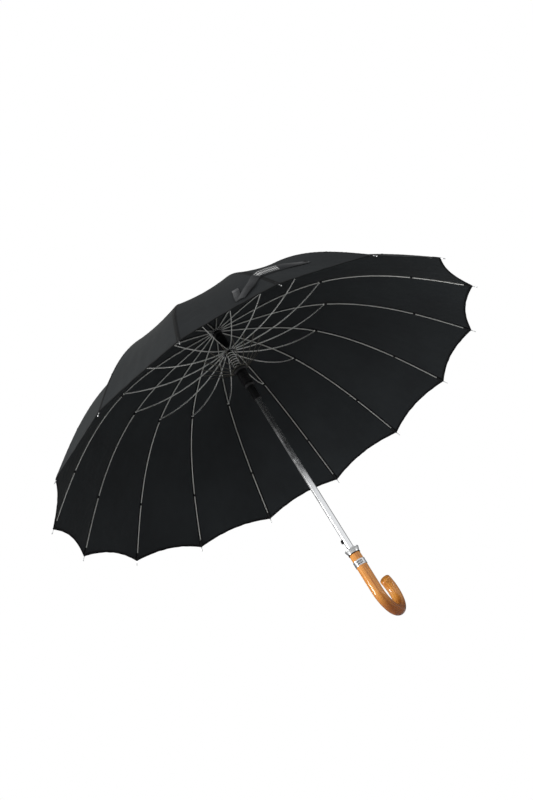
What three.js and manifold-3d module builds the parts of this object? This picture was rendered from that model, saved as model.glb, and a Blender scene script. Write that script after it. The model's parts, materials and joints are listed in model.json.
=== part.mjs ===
// A sixteen-rib stick umbrella with an automatic opening spring and a wooden crook handle.
//
// Frame: millimetres, +Z up the shaft, origin on the shaft's axis where the hand grips the handle.
// The umbrella is modelled open. Each rib is two bars that meet at the stretcher joint.

import * as THREE from 'three';
import { mergeVertices } from 'three/addons/utils/BufferGeometryUtils.js';
import Module from 'manifold-3d';

const wasm = await Module();
wasm.setup();

// ---- driving dimensions, mm ------------------------------------------------------------------

const RIB_COUNT = 16;
const RIB_PITCH = 360 / RIB_COUNT; // degrees; the crook points midway between two ribs
const GAP = 0.3;                  // between pieces that touch

const SHAFT_R = 7;                // steel tube
const SHAFT_WALL = 0.8;
const SHAFT_BELOW = 42;           // length hidden in the handle
const WOOD_TOP = 60;              // top of the wood above the grip point
const WOOD_R = 12;

const CROWN_Z = 677;              // height of the rib pivots at the crown
const CROWN_WALL = 3.6;           // hub round the shaft
const CROWN_SKIRT = 9;            // hub below the rib pivots
const PIVOT_CLEAR = 0.8;          // hub to a rib's rounded end
const INNER_RIB = 248.7;          // crown pivot to stretcher joint
const INNER_SLOPE = 11.5;         // degrees below level, open
const OUTER_RIB = 357;            // stretcher joint to rib tip
const OUTER_SLOPE = 40.7;
const JOINT_BEND_R = 396;         // tightest radius of the sprung rib, at the stretcher joint
const RIB_WIDTH = 2.6;
const RIB_DEPTH = 2.6;
const TIP_PIN_R = 1.1;
const TIP_PIN_LENGTH = 11;        // round pin past the cover's corner
const INNER_STEPS = 6;            // straight lengths in each bar's curve
const OUTER_STEPS = 8;

const RUNNER_DROP = 62;           // rib pivots down to the stretcher pivots, open
const HUB_WALL = 3.4;             // upper runner's foot, round the spring pocket
const HUB_HALF = 3;               // half the foot's height
const RUNNER_REST_GAP = 4;        // top of the sleeve to the crown, open
const STRETCHER_WIDTH = 1.6;
const STRETCHER_DEPTH = 2.4;
const STRETCHER_BOW = 18;         // towards the handle

const NECK_WALL = 1.4;            // upper runner's sleeve, round the spring pocket
const SPRING_POCKET = 14;         // how far the spring sits up inside the upper runner
const SPRING_CLEAR = 0.9;         // shaft to the spring's inside
const SPRING_WIRE_R = 0.8;
const SPRING_TURNS = 14;

const LOWER_DROP = 50;            // stretcher pivots down to the lower runner's top face, open
const COLLAR_LIP = 4.5;           // collar beyond the grip
const LOWER_COLLAR_HEIGHT = 6;
const GRIP_WALL = 5.2;
const LOWER_GRIP_LENGTH = 50;
const TAIL_WALL = 1.5;
const LOWER_TAIL_LENGTH = 40;
const CATCH_SLOT = 17;            // slot up the tail for the release button
const CATCH_SIDE = 0.7;           // slot wider than the button, each side
const ARM_WIDTH = 1.8;
const ARM_DEPTH = 1.8;
const ARM_REACH = 63;             // stretcher pivot to arm joint, along the stretcher

const BUTTON_AZIMUTH = 5 * RIB_PITCH; // degrees from +X, midway between two ribs
const BUTTON_Z = 95;
const BUTTON_WIDTH = 6;
const BUTTON_HEIGHT = 8;
const BUTTON_STANDS_OUT = 4.4;

const CUP_FLARE = 3.6;            // rim beyond the wood
const CUP_FOOT = 0.6;             // foot beyond the wood
const CUP_HEIGHT = 12.2;
const CUP_WALL = 0.9;
const CUP_FLOOR = 1.6;
const BAND_Z = 37.5;              // middle of the metal band on the handle
const BAND_HEIGHT = 13;
const BAND_WALL = 0.8;

const CROOK_R = 46.4;             // radius of its centreline
const CROOK_START_Z = -26.7;      // where the straight grip ends
const CROOK_SWEEP = 218;          // degrees of arc
const CROOK_END_ROUND = 4;        // height of the rounded end

const COVER_THICKNESS = 0.8;
const COVER_CLEAR = 0.6;          // between the ribs' backs and the cover
const APEX_CLEAR = 1.2;           // cover's hole beyond the shaft
const HEM_DIP = 14.5;             // hem's curve between two tips
const PANEL_SAG = 9;              // panel's saddle below the ribs
const FERRULE_LENGTH = 64;
const FERRULE_SEAT = 3;           // ferrule's foot above the cover
const FERRULE_WALL = 2;
const SHAFT_PLUG = 24;            // shaft's length inside the ferrule
const FERRULE_TIP_R = 4.6;
const CAP_OVERHANG = 10;          // cap beyond the shaft

// ---- materials -------------------------------------------------------------------------------

const steel = new THREE.MeshStandardMaterial({ color: 0xb9bbbc, roughness: 0.2, metalness: 1 });
const ribSteel = new THREE.MeshStandardMaterial({ color: 0x9c9c98, roughness: 0.35, metalness: 1 });
const blackPlastic = new THREE.MeshStandardMaterial({ color: 0x0c0c0d, roughness: 0.4 });
const wood = new THREE.MeshStandardMaterial({ color: 0xa8642a, roughness: 0.3 });
const cloth = new THREE.MeshStandardMaterial({ color: 0x202124, roughness: 0.8 });

// ---- helpers ---------------------------------------------------------------------------------

const radians = THREE.MathUtils.degToRad;
const V2 = THREE.Vector2;

function closed(geometry) {
  const bare = geometry.clone();
  bare.deleteAttribute('normal');
  bare.deleteAttribute('uv');
  return mergeVertices(bare, 1e-4);
}

function solid(geometry) {
  const merged = closed(geometry);
  const mesh = new wasm.Mesh({
    numProp: 3,
    vertProperties: new Float32Array(merged.attributes.position.array),
    triVerts: new Uint32Array(merged.index.array),
  });
  mesh.merge();
  return new wasm.Manifold(mesh);
}

function fromSolid(manifold) {
  const mesh = manifold.getMesh();
  const geometry = new THREE.BufferGeometry();
  geometry.setAttribute('position', new THREE.BufferAttribute(mesh.vertProperties, 3));
  geometry.setIndex(new THREE.BufferAttribute(mesh.triVerts, 1));
  return geometry;
}

function piece(name, geometry, material) {
  const mesh = new THREE.Mesh(geometry, material);
  mesh.name = name;
  return mesh;
}

// A turned piece: its section is a closed outline of [radius, height] points, anticlockwise.
function turned(outline, sides = 32) {
  const points = outline.map(([r, z]) => new V2(r, z));
  points.push(points[0].clone());
  return closed(new THREE.LatheGeometry(points, sides).rotateX(Math.PI / 2));
}

// A turned piece that reaches the axis: its profile starts and ends there.
function turnedSolid(profile, sides = 32) {
  const points = profile.map(([r, z]) => new V2(r, z));
  return closed(new THREE.LatheGeometry(points, sides).rotateX(Math.PI / 2));
}

// A box from its lowest to its highest corner.
function box(low, high) {
  const size = high.map((value, i) => value - low[i]);
  const middle = high.map((value, i) => (value + low[i]) / 2);
  return new THREE.BoxGeometry(...size).translate(...middle);
}

// A point on a bar's bowed centreline: t from 0 to 1 along the chord from start to end, with its
// direction and its upward normal. bow gives the height above the chord at t.
function bowed(start, end, bow, t) {
  const chord = end.clone().sub(start);
  const normal = new V2(-chord.y, chord.x).normalize();
  const at = (u) => start.clone().addScaledVector(chord, u).addScaledVector(normal, bow(u));
  const point = at(t);
  const along = at(t + 0.001).sub(at(t - 0.001)).normalize();
  return { point, along, up: new V2(-along.y, along.x) };
}

function shifted(place, distance) {
  return place.point.clone().addScaledVector(place.up, distance);
}

// A bar seen from the side, in the plane of the shaft and its rib: x is outwards, y is up.
function barOutline(places, depth, roundStart = true, roundEnd = true) {
  const half = depth / 2;
  const first = places[0];
  const last = places[places.length - 1];
  const outline = places.map((place) => shifted(place, -half));
  if (roundEnd) {
    outline.push(last.point.clone().addScaledVector(last.along, half));
  }
  outline.push(...places.map((place) => shifted(place, half)).reverse());
  if (roundStart) {
    outline.push(first.point.clone().addScaledVector(first.along, -half));
  }
  return outline;
}

// Gives a side outline its width: from y = offset - width / 2 to offset + width / 2.
function flatBar(outline, width, offset = 0) {
  const flat = new THREE.ExtrudeGeometry(new THREE.Shape(outline), { depth: width, bevelEnabled: false });
  return closed(flat.rotateX(Math.PI / 2).translate(0, offset + width / 2, 0));
}

function atAzimuth(mesh, degrees) {
  const holder = new THREE.Group();
  holder.rotation.z = radians(degrees);
  holder.add(mesh);
  return holder;
}

// ---- linkage points, in the plane of the shaft and one rib -----------------------------------

function away(start, length, slopeDown) {
  const angle = radians(slopeDown);
  return new V2(start.x + length * Math.cos(angle), start.y - length * Math.sin(angle));
}

const bore = SHAFT_R + GAP;
const crownHub = bore + CROWN_WALL;
const crownPivot = new V2(crownHub + RIB_DEPTH / 2 + PIVOT_CLEAR, CROWN_Z);
const ribJoint = away(crownPivot, INNER_RIB, INNER_SLOPE);
const ribTip = away(ribJoint, OUTER_RIB, OUTER_SLOPE);
const springR = SHAFT_R + SPRING_CLEAR + SPRING_WIRE_R;
const pocketR = springR + SPRING_WIRE_R + GAP;
const runnerHub = pocketR + HUB_WALL;
const runnerPivot = new V2(runnerHub + STRETCHER_DEPTH / 2 + 2 * GAP, CROWN_Z - RUNNER_DROP);
const runnerLow = runnerPivot.y - HUB_HALF;
const runnerTop = CROWN_Z - CROWN_SKIRT - RUNNER_REST_GAP;
const lowerTop = runnerPivot.y - LOWER_DROP;
const gripR = bore + GRIP_WALL;
const collarR = gripR + COLLAR_LIP;
const stretcherLength = ribJoint.distanceTo(runnerPivot);
const barOffset = (RIB_WIDTH + STRETCHER_WIDTH) / 2 + GAP;
const pinShare = TIP_PIN_LENGTH / OUTER_RIB;

// A sprung rib bends like a beam pushed at the joint: its curvature falls evenly from the joint to
// nothing at each end. t is counted from the free end.
function springBow(length, t) {
  return length ** 2 / (6 * JOINT_BEND_R) * t * (1 - t * t);
}

function innerPlace(t) {
  return bowed(crownPivot, ribJoint, (u) => springBow(INNER_RIB, u), t);
}

function outerPlace(t) {
  return bowed(ribJoint, ribTip, (u) => springBow(OUTER_RIB, 1 - u), t);
}

function stretcherPlace(t) {
  return bowed(runnerPivot, ribJoint, (u) => -STRETCHER_BOW * 4 * u * (1 - u), t);
}

// count + 1 values spaced evenly from 0 to last.
function shares(count, last = 1) {
  return Array.from({ length: count + 1 }, (_, i) => last * i / count);
}

// ---- shaft, handle and its fittings ----------------------------------------------------------

const crownTop = CROWN_Z + RIB_DEPTH / 2 + COVER_CLEAR;
const coverApexZ = crownTop + GAP;
const ferruleBase = coverApexZ + COVER_THICKNESS + GAP + FERRULE_SEAT;

function shaftTube() {
  const low = WOOD_TOP - SHAFT_BELOW;
  const high = ferruleBase + SHAFT_PLUG;
  const inner = SHAFT_R - SHAFT_WALL;
  const tube = solid(turned([[inner, low], [SHAFT_R, low], [SHAFT_R, high], [inner, high]], 36));
  const window = box(
    [0, -BUTTON_WIDTH / 2 - GAP, BUTTON_Z - BUTTON_HEIGHT / 2 - GAP],
    [SHAFT_R * 1.5, BUTTON_WIDTH / 2 + GAP, BUTTON_Z + BUTTON_HEIGHT / 2 + GAP],
  );
  const cut = tube.subtract(solid(window.rotateZ(radians(BUTTON_AZIMUTH))));
  return piece('shaft_tube', fromSolid(cut), steel);
}

function releaseButton() {
  const half = BUTTON_WIDTH / 2;
  const inside = -2.2;
  const face = SHAFT_R + BUTTON_STANDS_OUT;
  const outline = new THREE.Shape([
    new V2(inside, -BUTTON_HEIGHT / 2),
    new V2(face - 1.8, -BUTTON_HEIGHT / 2),
    new V2(face, -BUTTON_HEIGHT / 4),
    new V2(face, BUTTON_HEIGHT / 4),
    new V2(face - 1.8, BUTTON_HEIGHT / 2),
    new V2(inside, BUTTON_HEIGHT / 2),
  ]);
  const body = new THREE.ExtrudeGeometry(outline, { depth: BUTTON_WIDTH, bevelEnabled: false });
  body.rotateX(Math.PI / 2).translate(0, half, BUTTON_Z);
  return atAzimuth(piece('release_button', closed(body), blackPlastic), BUTTON_AZIMUTH);
}

// Points along the crook's centreline in the XZ plane, from the top of the wood to the end of the hook.
function crookLine() {
  const sweep = radians(CROOK_SWEEP);
  const steps = 24;
  const points = [new V2(0, WOOD_TOP)];
  for (let i = 0; i <= steps; i += 1) {
    const angle = sweep * i / steps;
    points.push(new V2(CROOK_R * (1 - Math.cos(angle)), CROOK_START_Z - CROOK_R * Math.sin(angle)));
  }
  return points;
}

function crookHandle() {
  const sides = 20;
  const line = crookLine();
  const directions = line.map((point, i) => {
    const before = line[Math.max(i - 1, 0)];
    const after = line[Math.min(i + 1, line.length - 1)];
    return after.clone().sub(before).normalize();
  });
  const sections = line.map((point, i) => ({ point, along: directions[i], radius: WOOD_R }));
  const end = sections[sections.length - 1];
  for (const angle of [radians(30), radians(60)]) {
    sections.push({
      point: end.point.clone().addScaledVector(end.along, CROOK_END_ROUND * Math.sin(angle)),
      along: end.along,
      radius: WOOD_R - CROOK_END_ROUND * (1 - Math.cos(angle)),
    });
  }
  const positions = [];
  sections.forEach(({ point, along, radius }) => {
    for (let k = 0; k < sides; k += 1) {
      const angle = 2 * Math.PI * k / sides;
      const sideways = radius * Math.sin(angle);
      positions.push(point.x - along.y * sideways, radius * Math.cos(angle), point.y + along.x * sideways);
    }
  });
  const top = positions.length / 3;
  const far = end.point.clone().addScaledVector(end.along, CROOK_END_ROUND);
  positions.push(0, 0, WOOD_TOP, far.x, 0, far.y);
  const index = [];
  for (let k = 0; k < sides; k += 1) {
    const next = (k + 1) % sides;
    const last = (sections.length - 1) * sides;
    for (let j = 0; j < sections.length - 1; j += 1) {
      const row = j * sides;
      index.push(row + k, row + next, row + next + sides, row + k, row + next + sides, row + k + sides);
    }
    index.push(top, next, k, top + 1, last + k, last + next);
  }
  const geometry = new THREE.BufferGeometry();
  geometry.setAttribute('position', new THREE.Float32BufferAttribute(positions, 3));
  geometry.setIndex(index);
  const depth = SHAFT_BELOW + GAP;
  const socket = new THREE.CylinderGeometry(bore, bore, 2 * depth, 32);
  socket.rotateX(Math.PI / 2).translate(0, 0, WOOD_TOP);
  return piece('crook_handle', fromSolid(solid(geometry).subtract(solid(socket))), wood);
}

function tipCup() {
  const low = WOOD_TOP + GAP;
  const footR = WOOD_R + CUP_FOOT;
  const rimR = WOOD_R + CUP_FLARE;
  const high = low + CUP_HEIGHT;
  return piece('tip_cup', turned([
    [bore, low],
    [footR, low],
    [rimR - 0.6, low + CUP_HEIGHT * 0.62],
    [rimR, high],
    [rimR - CUP_WALL, high],
    [rimR - 0.6 - CUP_WALL, low + CUP_HEIGHT * 0.66],
    [footR - CUP_WALL, low + CUP_FLOOR],
    [bore, low + CUP_FLOOR],
  ], 32), steel);
}

function handleBand() {
  const inner = WOOD_R + GAP;
  const low = BAND_Z - BAND_HEIGHT / 2;
  const high = BAND_Z + BAND_HEIGHT / 2;
  const outer = inner + BAND_WALL;
  return piece('handle_band', turned([[inner, low], [outer, low], [outer, high], [inner, high]], 32), steel);
}

// ---- crown, ferrule and runners --------------------------------------------------------------

function crown() {
  return piece('crown', turned([
    [bore, CROWN_Z - CROWN_SKIRT],
    [crownHub, CROWN_Z - CROWN_SKIRT],
    [crownHub, crownTop],
    [bore, crownTop],
  ], 32), blackPlastic);
}

function ferrule() {
  const seat = ferruleBase;
  const foot = seat - FERRULE_SEAT;
  const roof = seat + SHAFT_PLUG + GAP;
  const capR = SHAFT_R + CAP_OVERHANG;
  const sleeveR = bore + FERRULE_WALL;
  return piece('ferrule', turnedSolid([
    [0, roof],
    [bore, roof],
    [bore, foot],
    [capR - 3, foot],
    [capR, foot + 2],
    [capR - 3, seat + 2.5],
    [sleeveR + 1.3, seat + 5],
    [sleeveR, seat + 9],
    [sleeveR, roof + 1],
    [FERRULE_TIP_R, seat + FERRULE_LENGTH - 3],
    [FERRULE_TIP_R - 1, seat + FERRULE_LENGTH],
    [0, seat + FERRULE_LENGTH],
  ], 24), blackPlastic);
}

function upperRunner() {
  const shelf = runnerPivot.y + HUB_HALF;
  const neckR = pocketR + NECK_WALL;
  const ceiling = runnerLow + SPRING_POCKET;
  return piece('upper_runner', turned([
    [pocketR, runnerLow],
    [runnerHub, runnerLow],
    [runnerHub, shelf],
    [neckR, shelf + 2],
    [neckR, runnerTop],
    [bore, runnerTop],
    [bore, ceiling],
    [pocketR, ceiling],
  ], 32), blackPlastic);
}

function lowerRunner() {
  const shoulder = lowerTop - LOWER_GRIP_LENGTH;
  const low = shoulder - LOWER_TAIL_LENGTH;
  const tailR = bore + TAIL_WALL;
  const body = solid(turned([
    [bore, low],
    [tailR, low],
    [tailR, shoulder - 3],
    [gripR, shoulder],
    [gripR, lowerTop - LOWER_COLLAR_HEIGHT - 3],
    [collarR, lowerTop - LOWER_COLLAR_HEIGHT],
    [collarR, lowerTop],
    [bore, lowerTop],
  ], 32));
  const halfSlot = BUTTON_WIDTH / 2 + CATCH_SIDE;
  const slot = box([0, -halfSlot, low - 1], [gripR * 2, halfSlot, low + CATCH_SLOT]);
  const cut = body.subtract(solid(slot.rotateZ(radians(BUTTON_AZIMUTH))));
  return piece('lower_runner', fromSolid(cut), blackPlastic);
}

class Helix extends THREE.Curve {
  constructor(radius, low, high, turns) {
    super();
    Object.assign(this, { radius, low, high, turns });
  }

  getPoint(t, target = new THREE.Vector3()) {
    const angle = 2 * Math.PI * this.turns * t;
    return target.set(
      this.radius * Math.cos(angle),
      this.radius * Math.sin(angle),
      this.low + (this.high - this.low) * t,
    );
  }
}

function openingSpring() {
  const low = lowerTop + GAP + SPRING_WIRE_R;
  const high = runnerLow + SPRING_POCKET - GAP - SPRING_WIRE_R;
  const section = new THREE.Shape();
  section.absarc(0, 0, SPRING_WIRE_R, 0, 2 * Math.PI);
  const coil = new THREE.ExtrudeGeometry(section, {
    steps: SPRING_TURNS * 10,
    curveSegments: 2,
    bevelEnabled: false,
    extrudePath: new Helix(springR, low, high, SPRING_TURNS),
  });
  return piece('opening_spring', closed(coil), steel);
}

// The short arms, one to each stretcher, and the wire ring that carries them on the lower runner.
function openingArms() {
  const ringZ = lowerTop - LOWER_COLLAR_HEIGHT / 2;
  const inner = collarR + GAP;
  const outer = inner + ARM_DEPTH;
  const low = ringZ - ARM_DEPTH / 2;
  const high = ringZ + ARM_DEPTH / 2;
  let arms = solid(turned([[inner, low], [outer, low], [outer, high], [inner, high]], 48));
  const under = STRETCHER_DEPTH / 2 + GAP + ARM_DEPTH / 2 + GAP;
  const foot = new V2((inner + outer) / 2, ringZ);
  const head = shifted(stretcherPlace(ARM_REACH / stretcherLength), -under);
  const places = [0, 1].map((t) => bowed(foot, head, () => 0, t));
  for (let i = 0; i < RIB_COUNT; i += 1) {
    const arm = flatBar(barOutline(places, ARM_DEPTH), ARM_WIDTH, barOffset);
    arms = arms.add(solid(arm.rotateZ(radians(RIB_PITCH * (i + 0.5)))));
  }
  return piece('opening_arms', fromSolid(arms), ribSteel);
}

// ---- ribs and stretchers ---------------------------------------------------------------------

function innerRib(name) {
  const stop = 1 - (RIB_DEPTH / 2 + GAP) / INNER_RIB;
  const places = shares(INNER_STEPS, stop).map(innerPlace);
  return piece(name, flatBar(barOutline(places, RIB_DEPTH, true, false), RIB_WIDTH), ribSteel);
}

function outerRib(name) {
  const places = shares(OUTER_STEPS, 1 - pinShare).map(outerPlace);
  const bar = solid(flatBar(barOutline(places, RIB_DEPTH, true, false), RIB_WIDTH));
  const from = outerPlace(1 - pinShare - 0.004).point;
  const to = outerPlace(1).point;
  const pin = new THREE.CylinderGeometry(TIP_PIN_R, TIP_PIN_R, from.distanceTo(to), 8);
  pin.rotateZ(Math.PI / 2).rotateY(Math.atan2(from.y - to.y, to.x - from.x));
  pin.translate((from.x + to.x) / 2, 0, (from.y + to.y) / 2);
  return piece(name, fromSolid(bar.add(solid(pin))), ribSteel);
}

function stretcher(name) {
  const places = shares(INNER_STEPS).map(stretcherPlace);
  return piece(name, flatBar(barOutline(places, STRETCHER_DEPTH), STRETCHER_WIDTH, barOffset), ribSteel);
}

// ---- cover -----------------------------------------------------------------------------------

// The cloth's underside along a rib, from the hole at the apex to the corner at the tip pin.
function coverLine() {
  const above = RIB_DEPTH / 2 + COVER_CLEAR;
  const apex = new V2(SHAFT_R + APEX_CLEAR, coverApexZ);
  const inner = shares(INNER_STEPS).slice(1).map((t) => shifted(innerPlace(t), above));
  const outer = shares(OUTER_STEPS, 1 - pinShare).slice(1).map((t) => shifted(outerPlace(t), above));
  return [apex, ...inner, ...outer];
}

// Each panel saddles between its ribs, and its hem curves in between the two corners.
function cover() {
  const perPanel = 4;
  const around = RIB_COUNT * perPanel;
  const line = coverLine();
  const rows = line.length - 1;
  const rim = line[rows].x;
  const lean = radians(OUTER_SLOPE);
  const positions = [];
  const addLayer = (rise) => line.forEach((rib, j) => {
    const share = rib.x / rim;
    for (let k = 0; k < around; k += 1) {
      const u = (k % perPanel) / perPanel;
      const between = 4 * u * (1 - u);
      const half = radians(RIB_PITCH / 2);
      const chord = Math.cos(half) / Math.cos(half * (2 * u - 1));
      const hem = HEM_DIP * between * share ** 8;
      const sag = PANEL_SAG * between * 2 * share ** 2 * (1 - share ** 4);
      const r = rib.x * chord - hem * Math.cos(lean) + rise * 0.5 * share;
      const z = rib.y - sag + hem * Math.sin(lean) + rise;
      const angle = 2 * Math.PI * k / around + half;
      positions.push(r * Math.cos(angle), r * Math.sin(angle), z);
    }
  });
  addLayer(0);
  addLayer(COVER_THICKNESS);
  const layer = (rows + 1) * around;
  const index = [];
  const quad = (a, b, c, d) => index.push(a, b, c, a, c, d);
  for (let k = 0; k < around; k += 1) {
    const next = (k + 1) % around;
    const edge = rows * around;
    for (let row = 0; row < edge; row += around) {
      quad(row + k, row + next, row + next + around, row + k + around);
      quad(layer + row + k, layer + row + k + around, layer + row + next + around, layer + row + next);
    }
    quad(k, k + layer, next + layer, next);
    quad(edge + k, edge + next, edge + next + layer, edge + k + layer);
  }
  const geometry = new THREE.BufferGeometry();
  geometry.setAttribute('position', new THREE.Float32BufferAttribute(positions, 3));
  geometry.setIndex(index);
  return piece('canopy', geometry, cloth);
}

// ---- assembly --------------------------------------------------------------------------------

const umbrella = new THREE.Group();
umbrella.name = 'stick_umbrella';
umbrella.add(
  shaftTube(), releaseButton(), crookHandle(), tipCup(), handleBand(),
  crown(), ferrule(), upperRunner(), lowerRunner(), openingSpring(), openingArms(), cover(),
);
for (let i = 1; i <= RIB_COUNT; i += 1) {
  const label = String(i).padStart(2, '0');
  const rib = new THREE.Group();
  rib.rotation.z = radians(RIB_PITCH * (i - 0.5));
  rib.add(innerRib(`rib_inner_${label}`), outerRib(`rib_outer_${label}`), stretcher(`stretcher_${label}`));
  umbrella.add(rib);
}

export default umbrella;
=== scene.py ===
"""A sixteen-rib stick umbrella with a wooden crook handle, open, seen from below its rim.

Metres throughout. The shaft stands on +Z through the origin, and the crook's hook points to +X.
"""

import json
import math

import bmesh
import bpy
import numpy as np
from mathutils import Matrix, Vector


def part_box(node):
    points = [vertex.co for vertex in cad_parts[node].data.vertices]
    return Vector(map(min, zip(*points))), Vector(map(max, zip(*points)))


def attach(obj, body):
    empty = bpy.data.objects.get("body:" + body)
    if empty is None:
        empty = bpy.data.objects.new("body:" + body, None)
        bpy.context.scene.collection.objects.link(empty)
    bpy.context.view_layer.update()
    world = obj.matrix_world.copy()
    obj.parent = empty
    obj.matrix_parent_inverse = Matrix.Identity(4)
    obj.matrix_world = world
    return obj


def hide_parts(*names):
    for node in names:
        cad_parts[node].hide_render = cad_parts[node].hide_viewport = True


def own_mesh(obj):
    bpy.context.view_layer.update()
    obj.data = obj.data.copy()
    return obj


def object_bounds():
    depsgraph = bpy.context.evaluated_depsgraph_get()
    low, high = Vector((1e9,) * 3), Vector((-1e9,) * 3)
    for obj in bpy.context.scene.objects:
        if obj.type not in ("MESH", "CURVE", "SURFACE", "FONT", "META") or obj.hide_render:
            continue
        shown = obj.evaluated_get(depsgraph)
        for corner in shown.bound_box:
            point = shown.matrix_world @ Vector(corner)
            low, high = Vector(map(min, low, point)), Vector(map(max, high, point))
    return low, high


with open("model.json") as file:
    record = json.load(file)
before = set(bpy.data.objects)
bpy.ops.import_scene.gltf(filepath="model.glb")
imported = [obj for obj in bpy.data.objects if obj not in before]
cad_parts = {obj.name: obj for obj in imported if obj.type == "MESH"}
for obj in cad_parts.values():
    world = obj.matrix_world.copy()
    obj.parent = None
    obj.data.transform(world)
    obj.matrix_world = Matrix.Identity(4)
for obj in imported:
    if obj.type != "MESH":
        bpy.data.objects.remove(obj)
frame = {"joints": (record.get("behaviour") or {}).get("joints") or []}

cad_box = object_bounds()
joints = {joint["name"]: joint for joint in frame["joints"]}


# ---- Studio ------------------------------------------------------------------------------------
# A pale matt floor under the crook, a white room and four soft lamps.
# The floor lets light and sight through from below, because the umbrella is seen from under it, and
# it fades out into the room a few metres away.

def linear(code):
    """An sRGB hex colour as the linear colour that Blender's sockets take."""
    channels = [int(code[i:i + 2], 16) / 255 for i in (0, 2, 4)]
    return (*[c / 12.92 if c <= 0.04045 else ((c + 0.055) / 1.055) ** 2.4 for c in channels], 1.0)


def add(tree, kind, inputs=(), **settings):
    """Adds a node. inputs gives a socket, by name or number, a value or another node's output."""
    node = tree.nodes.new(kind)
    for key, value in settings.items():
        setattr(node, key, value)
    for key, value in dict(inputs).items():
        if isinstance(value, bpy.types.NodeSocket):
            tree.links.new(value, node.inputs[key])
        else:
            node.inputs[key].default_value = value
    return node


def new_material(name, **finish):
    """A material with one Principled shader. finish gives its sockets' values, with _ for a space."""
    material = bpy.data.materials.new(name)
    material.use_nodes = True
    tree = material.node_tree
    tree.nodes.clear()
    shader = add(tree, "ShaderNodeBsdfPrincipled")
    for key, value in finish.items():
        shader.inputs[key.replace("_", " ")].default_value = value
    add(tree, "ShaderNodeOutputMaterial", {"Surface": shader.outputs["BSDF"]})
    return material, tree, shader


floor_gap = 0.002
floor_z = cad_box[0].z - floor_gap
floor_mesh = bpy.data.meshes.new("studio_floor")
floor_half = 3.0
fade_start, fade_stop = 0.9, 2.6
floor_mesh.from_pydata(
    [(-floor_half, -floor_half, floor_z), (floor_half, -floor_half, floor_z),
     (floor_half, floor_half, floor_z), (-floor_half, floor_half, floor_z)], [], [(0, 1, 2, 3)])
floor = bpy.data.objects.new("studio_floor", floor_mesh)
bpy.context.collection.objects.link(floor)

# Matt white paper sweep.
paper, tree, shader = new_material("studio_paper", Roughness=0.9, Base_Color=linear("F0F0EE"))
below = add(tree, "ShaderNodeNewGeometry")
floor_place = add(tree, "ShaderNodeTexCoord")
from_middle = add(tree, "ShaderNodeVectorMath", {0: floor_place.outputs["Object"]},
                  operation="LENGTH")
fade = add(tree, "ShaderNodeMapRange", {
    "Value": from_middle.outputs["Value"], 1: fade_start, 2: fade_stop, 3: 0.0, 4: 1.0},
    interpolation_type="SMOOTHSTEP")
open_to_light = add(tree, "ShaderNodeMath", {
    0: below.outputs["Backfacing"], 1: fade.outputs[0]}, operation="MAXIMUM")
seen_through = add(tree, "ShaderNodeBsdfTransparent")
sides = add(tree, "ShaderNodeMixShader", {
    0: open_to_light.outputs[0], 1: shader.outputs["BSDF"], 2: seen_through.outputs["BSDF"]})
tree.links.new(sides.outputs[0], tree.nodes["Material Output"].inputs["Surface"])
floor_mesh.materials.append(paper)

bpy.context.scene.view_settings.view_transform = "Standard"

# The camera looks up under the rim from the side away from the hook, tilted to its right.
rim_height = 0.396
camera_azimuth = math.radians(-72.042)
camera_elevation = math.radians(-25.365)
camera_roll = math.radians(-32.068)
camera_back, camera_right, camera_up = 2.336, -0.0195, 0.0589
back = Vector((math.sin(camera_azimuth) * math.cos(camera_elevation),
               -math.cos(camera_azimuth) * math.cos(camera_elevation), math.sin(camera_elevation)))
level = Vector((math.cos(camera_azimuth), math.sin(camera_azimuth), 0))
upright = back.cross(level)
across = math.cos(camera_roll) * level + math.sin(camera_roll) * upright
upward = -math.sin(camera_roll) * level + math.cos(camera_roll) * upright
camera_data = bpy.data.cameras.new("camera")
camera_data.sensor_width = 36.0
camera_data.lens = 48.125
camera_data.clip_start, camera_data.clip_end = 0.05, 200.0
camera = bpy.data.objects.new("camera", camera_data)
bpy.context.collection.objects.link(camera)
rim_middle = Vector((0, 0, rim_height))
camera_place = rim_middle + back * camera_back + across * camera_right + upward * camera_up
camera_turn = Matrix((across, upward, back)).transposed().to_4x4()
camera.matrix_world = Matrix.Translation(camera_place) @ camera_turn
bpy.context.scene.camera = camera

# A white room. It is dark behind the umbrella and grey at its left, so that chrome has edges.
world = bpy.data.worlds.new("white_room")
bpy.context.scene.world = world
world.use_nodes = True
tree = world.node_tree
tree.nodes.clear()
facing = add(tree, "ShaderNodeTexCoord")
nearness = add(tree, "ShaderNodeVectorMath", {0: facing.outputs["Generated"], 1: back},
               operation="DOT_PRODUCT")
leftness = add(tree, "ShaderNodeVectorMath", {0: facing.outputs["Generated"], 1: -level},
               operation="DOT_PRODUCT")
front = add(tree, "ShaderNodeMapRange", {
    "Value": nearness.outputs["Value"], 1: -0.75, 2: 0.05, 3: 0.08, 4: 1.0})
left = add(tree, "ShaderNodeMapRange", {
    "Value": leftness.outputs["Value"], 1: 0.45, 2: 0.8, 3: 1.0, 4: 0.5})
glow = add(tree, "ShaderNodeMath", {0: front.outputs[0], 1: left.outputs[0]}, operation="MULTIPLY")
path = add(tree, "ShaderNodeLightPath")
seen = add(tree, "ShaderNodeBackground", {"Color": (1, 1, 1, 1), "Strength": 1.0})
cast = add(tree, "ShaderNodeBackground", {"Color": (0.97, 0.98, 1, 1), "Strength": glow.outputs[0]})
room = add(tree, "ShaderNodeMixShader", {
    0: path.outputs["Is Camera Ray"], 1: cast.outputs[0], 2: seen.outputs[0]})
add(tree, "ShaderNodeOutputWorld", {"Surface": room.outputs[0]})

horizontal_back = Vector((back.x, back.y, 0))
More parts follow.
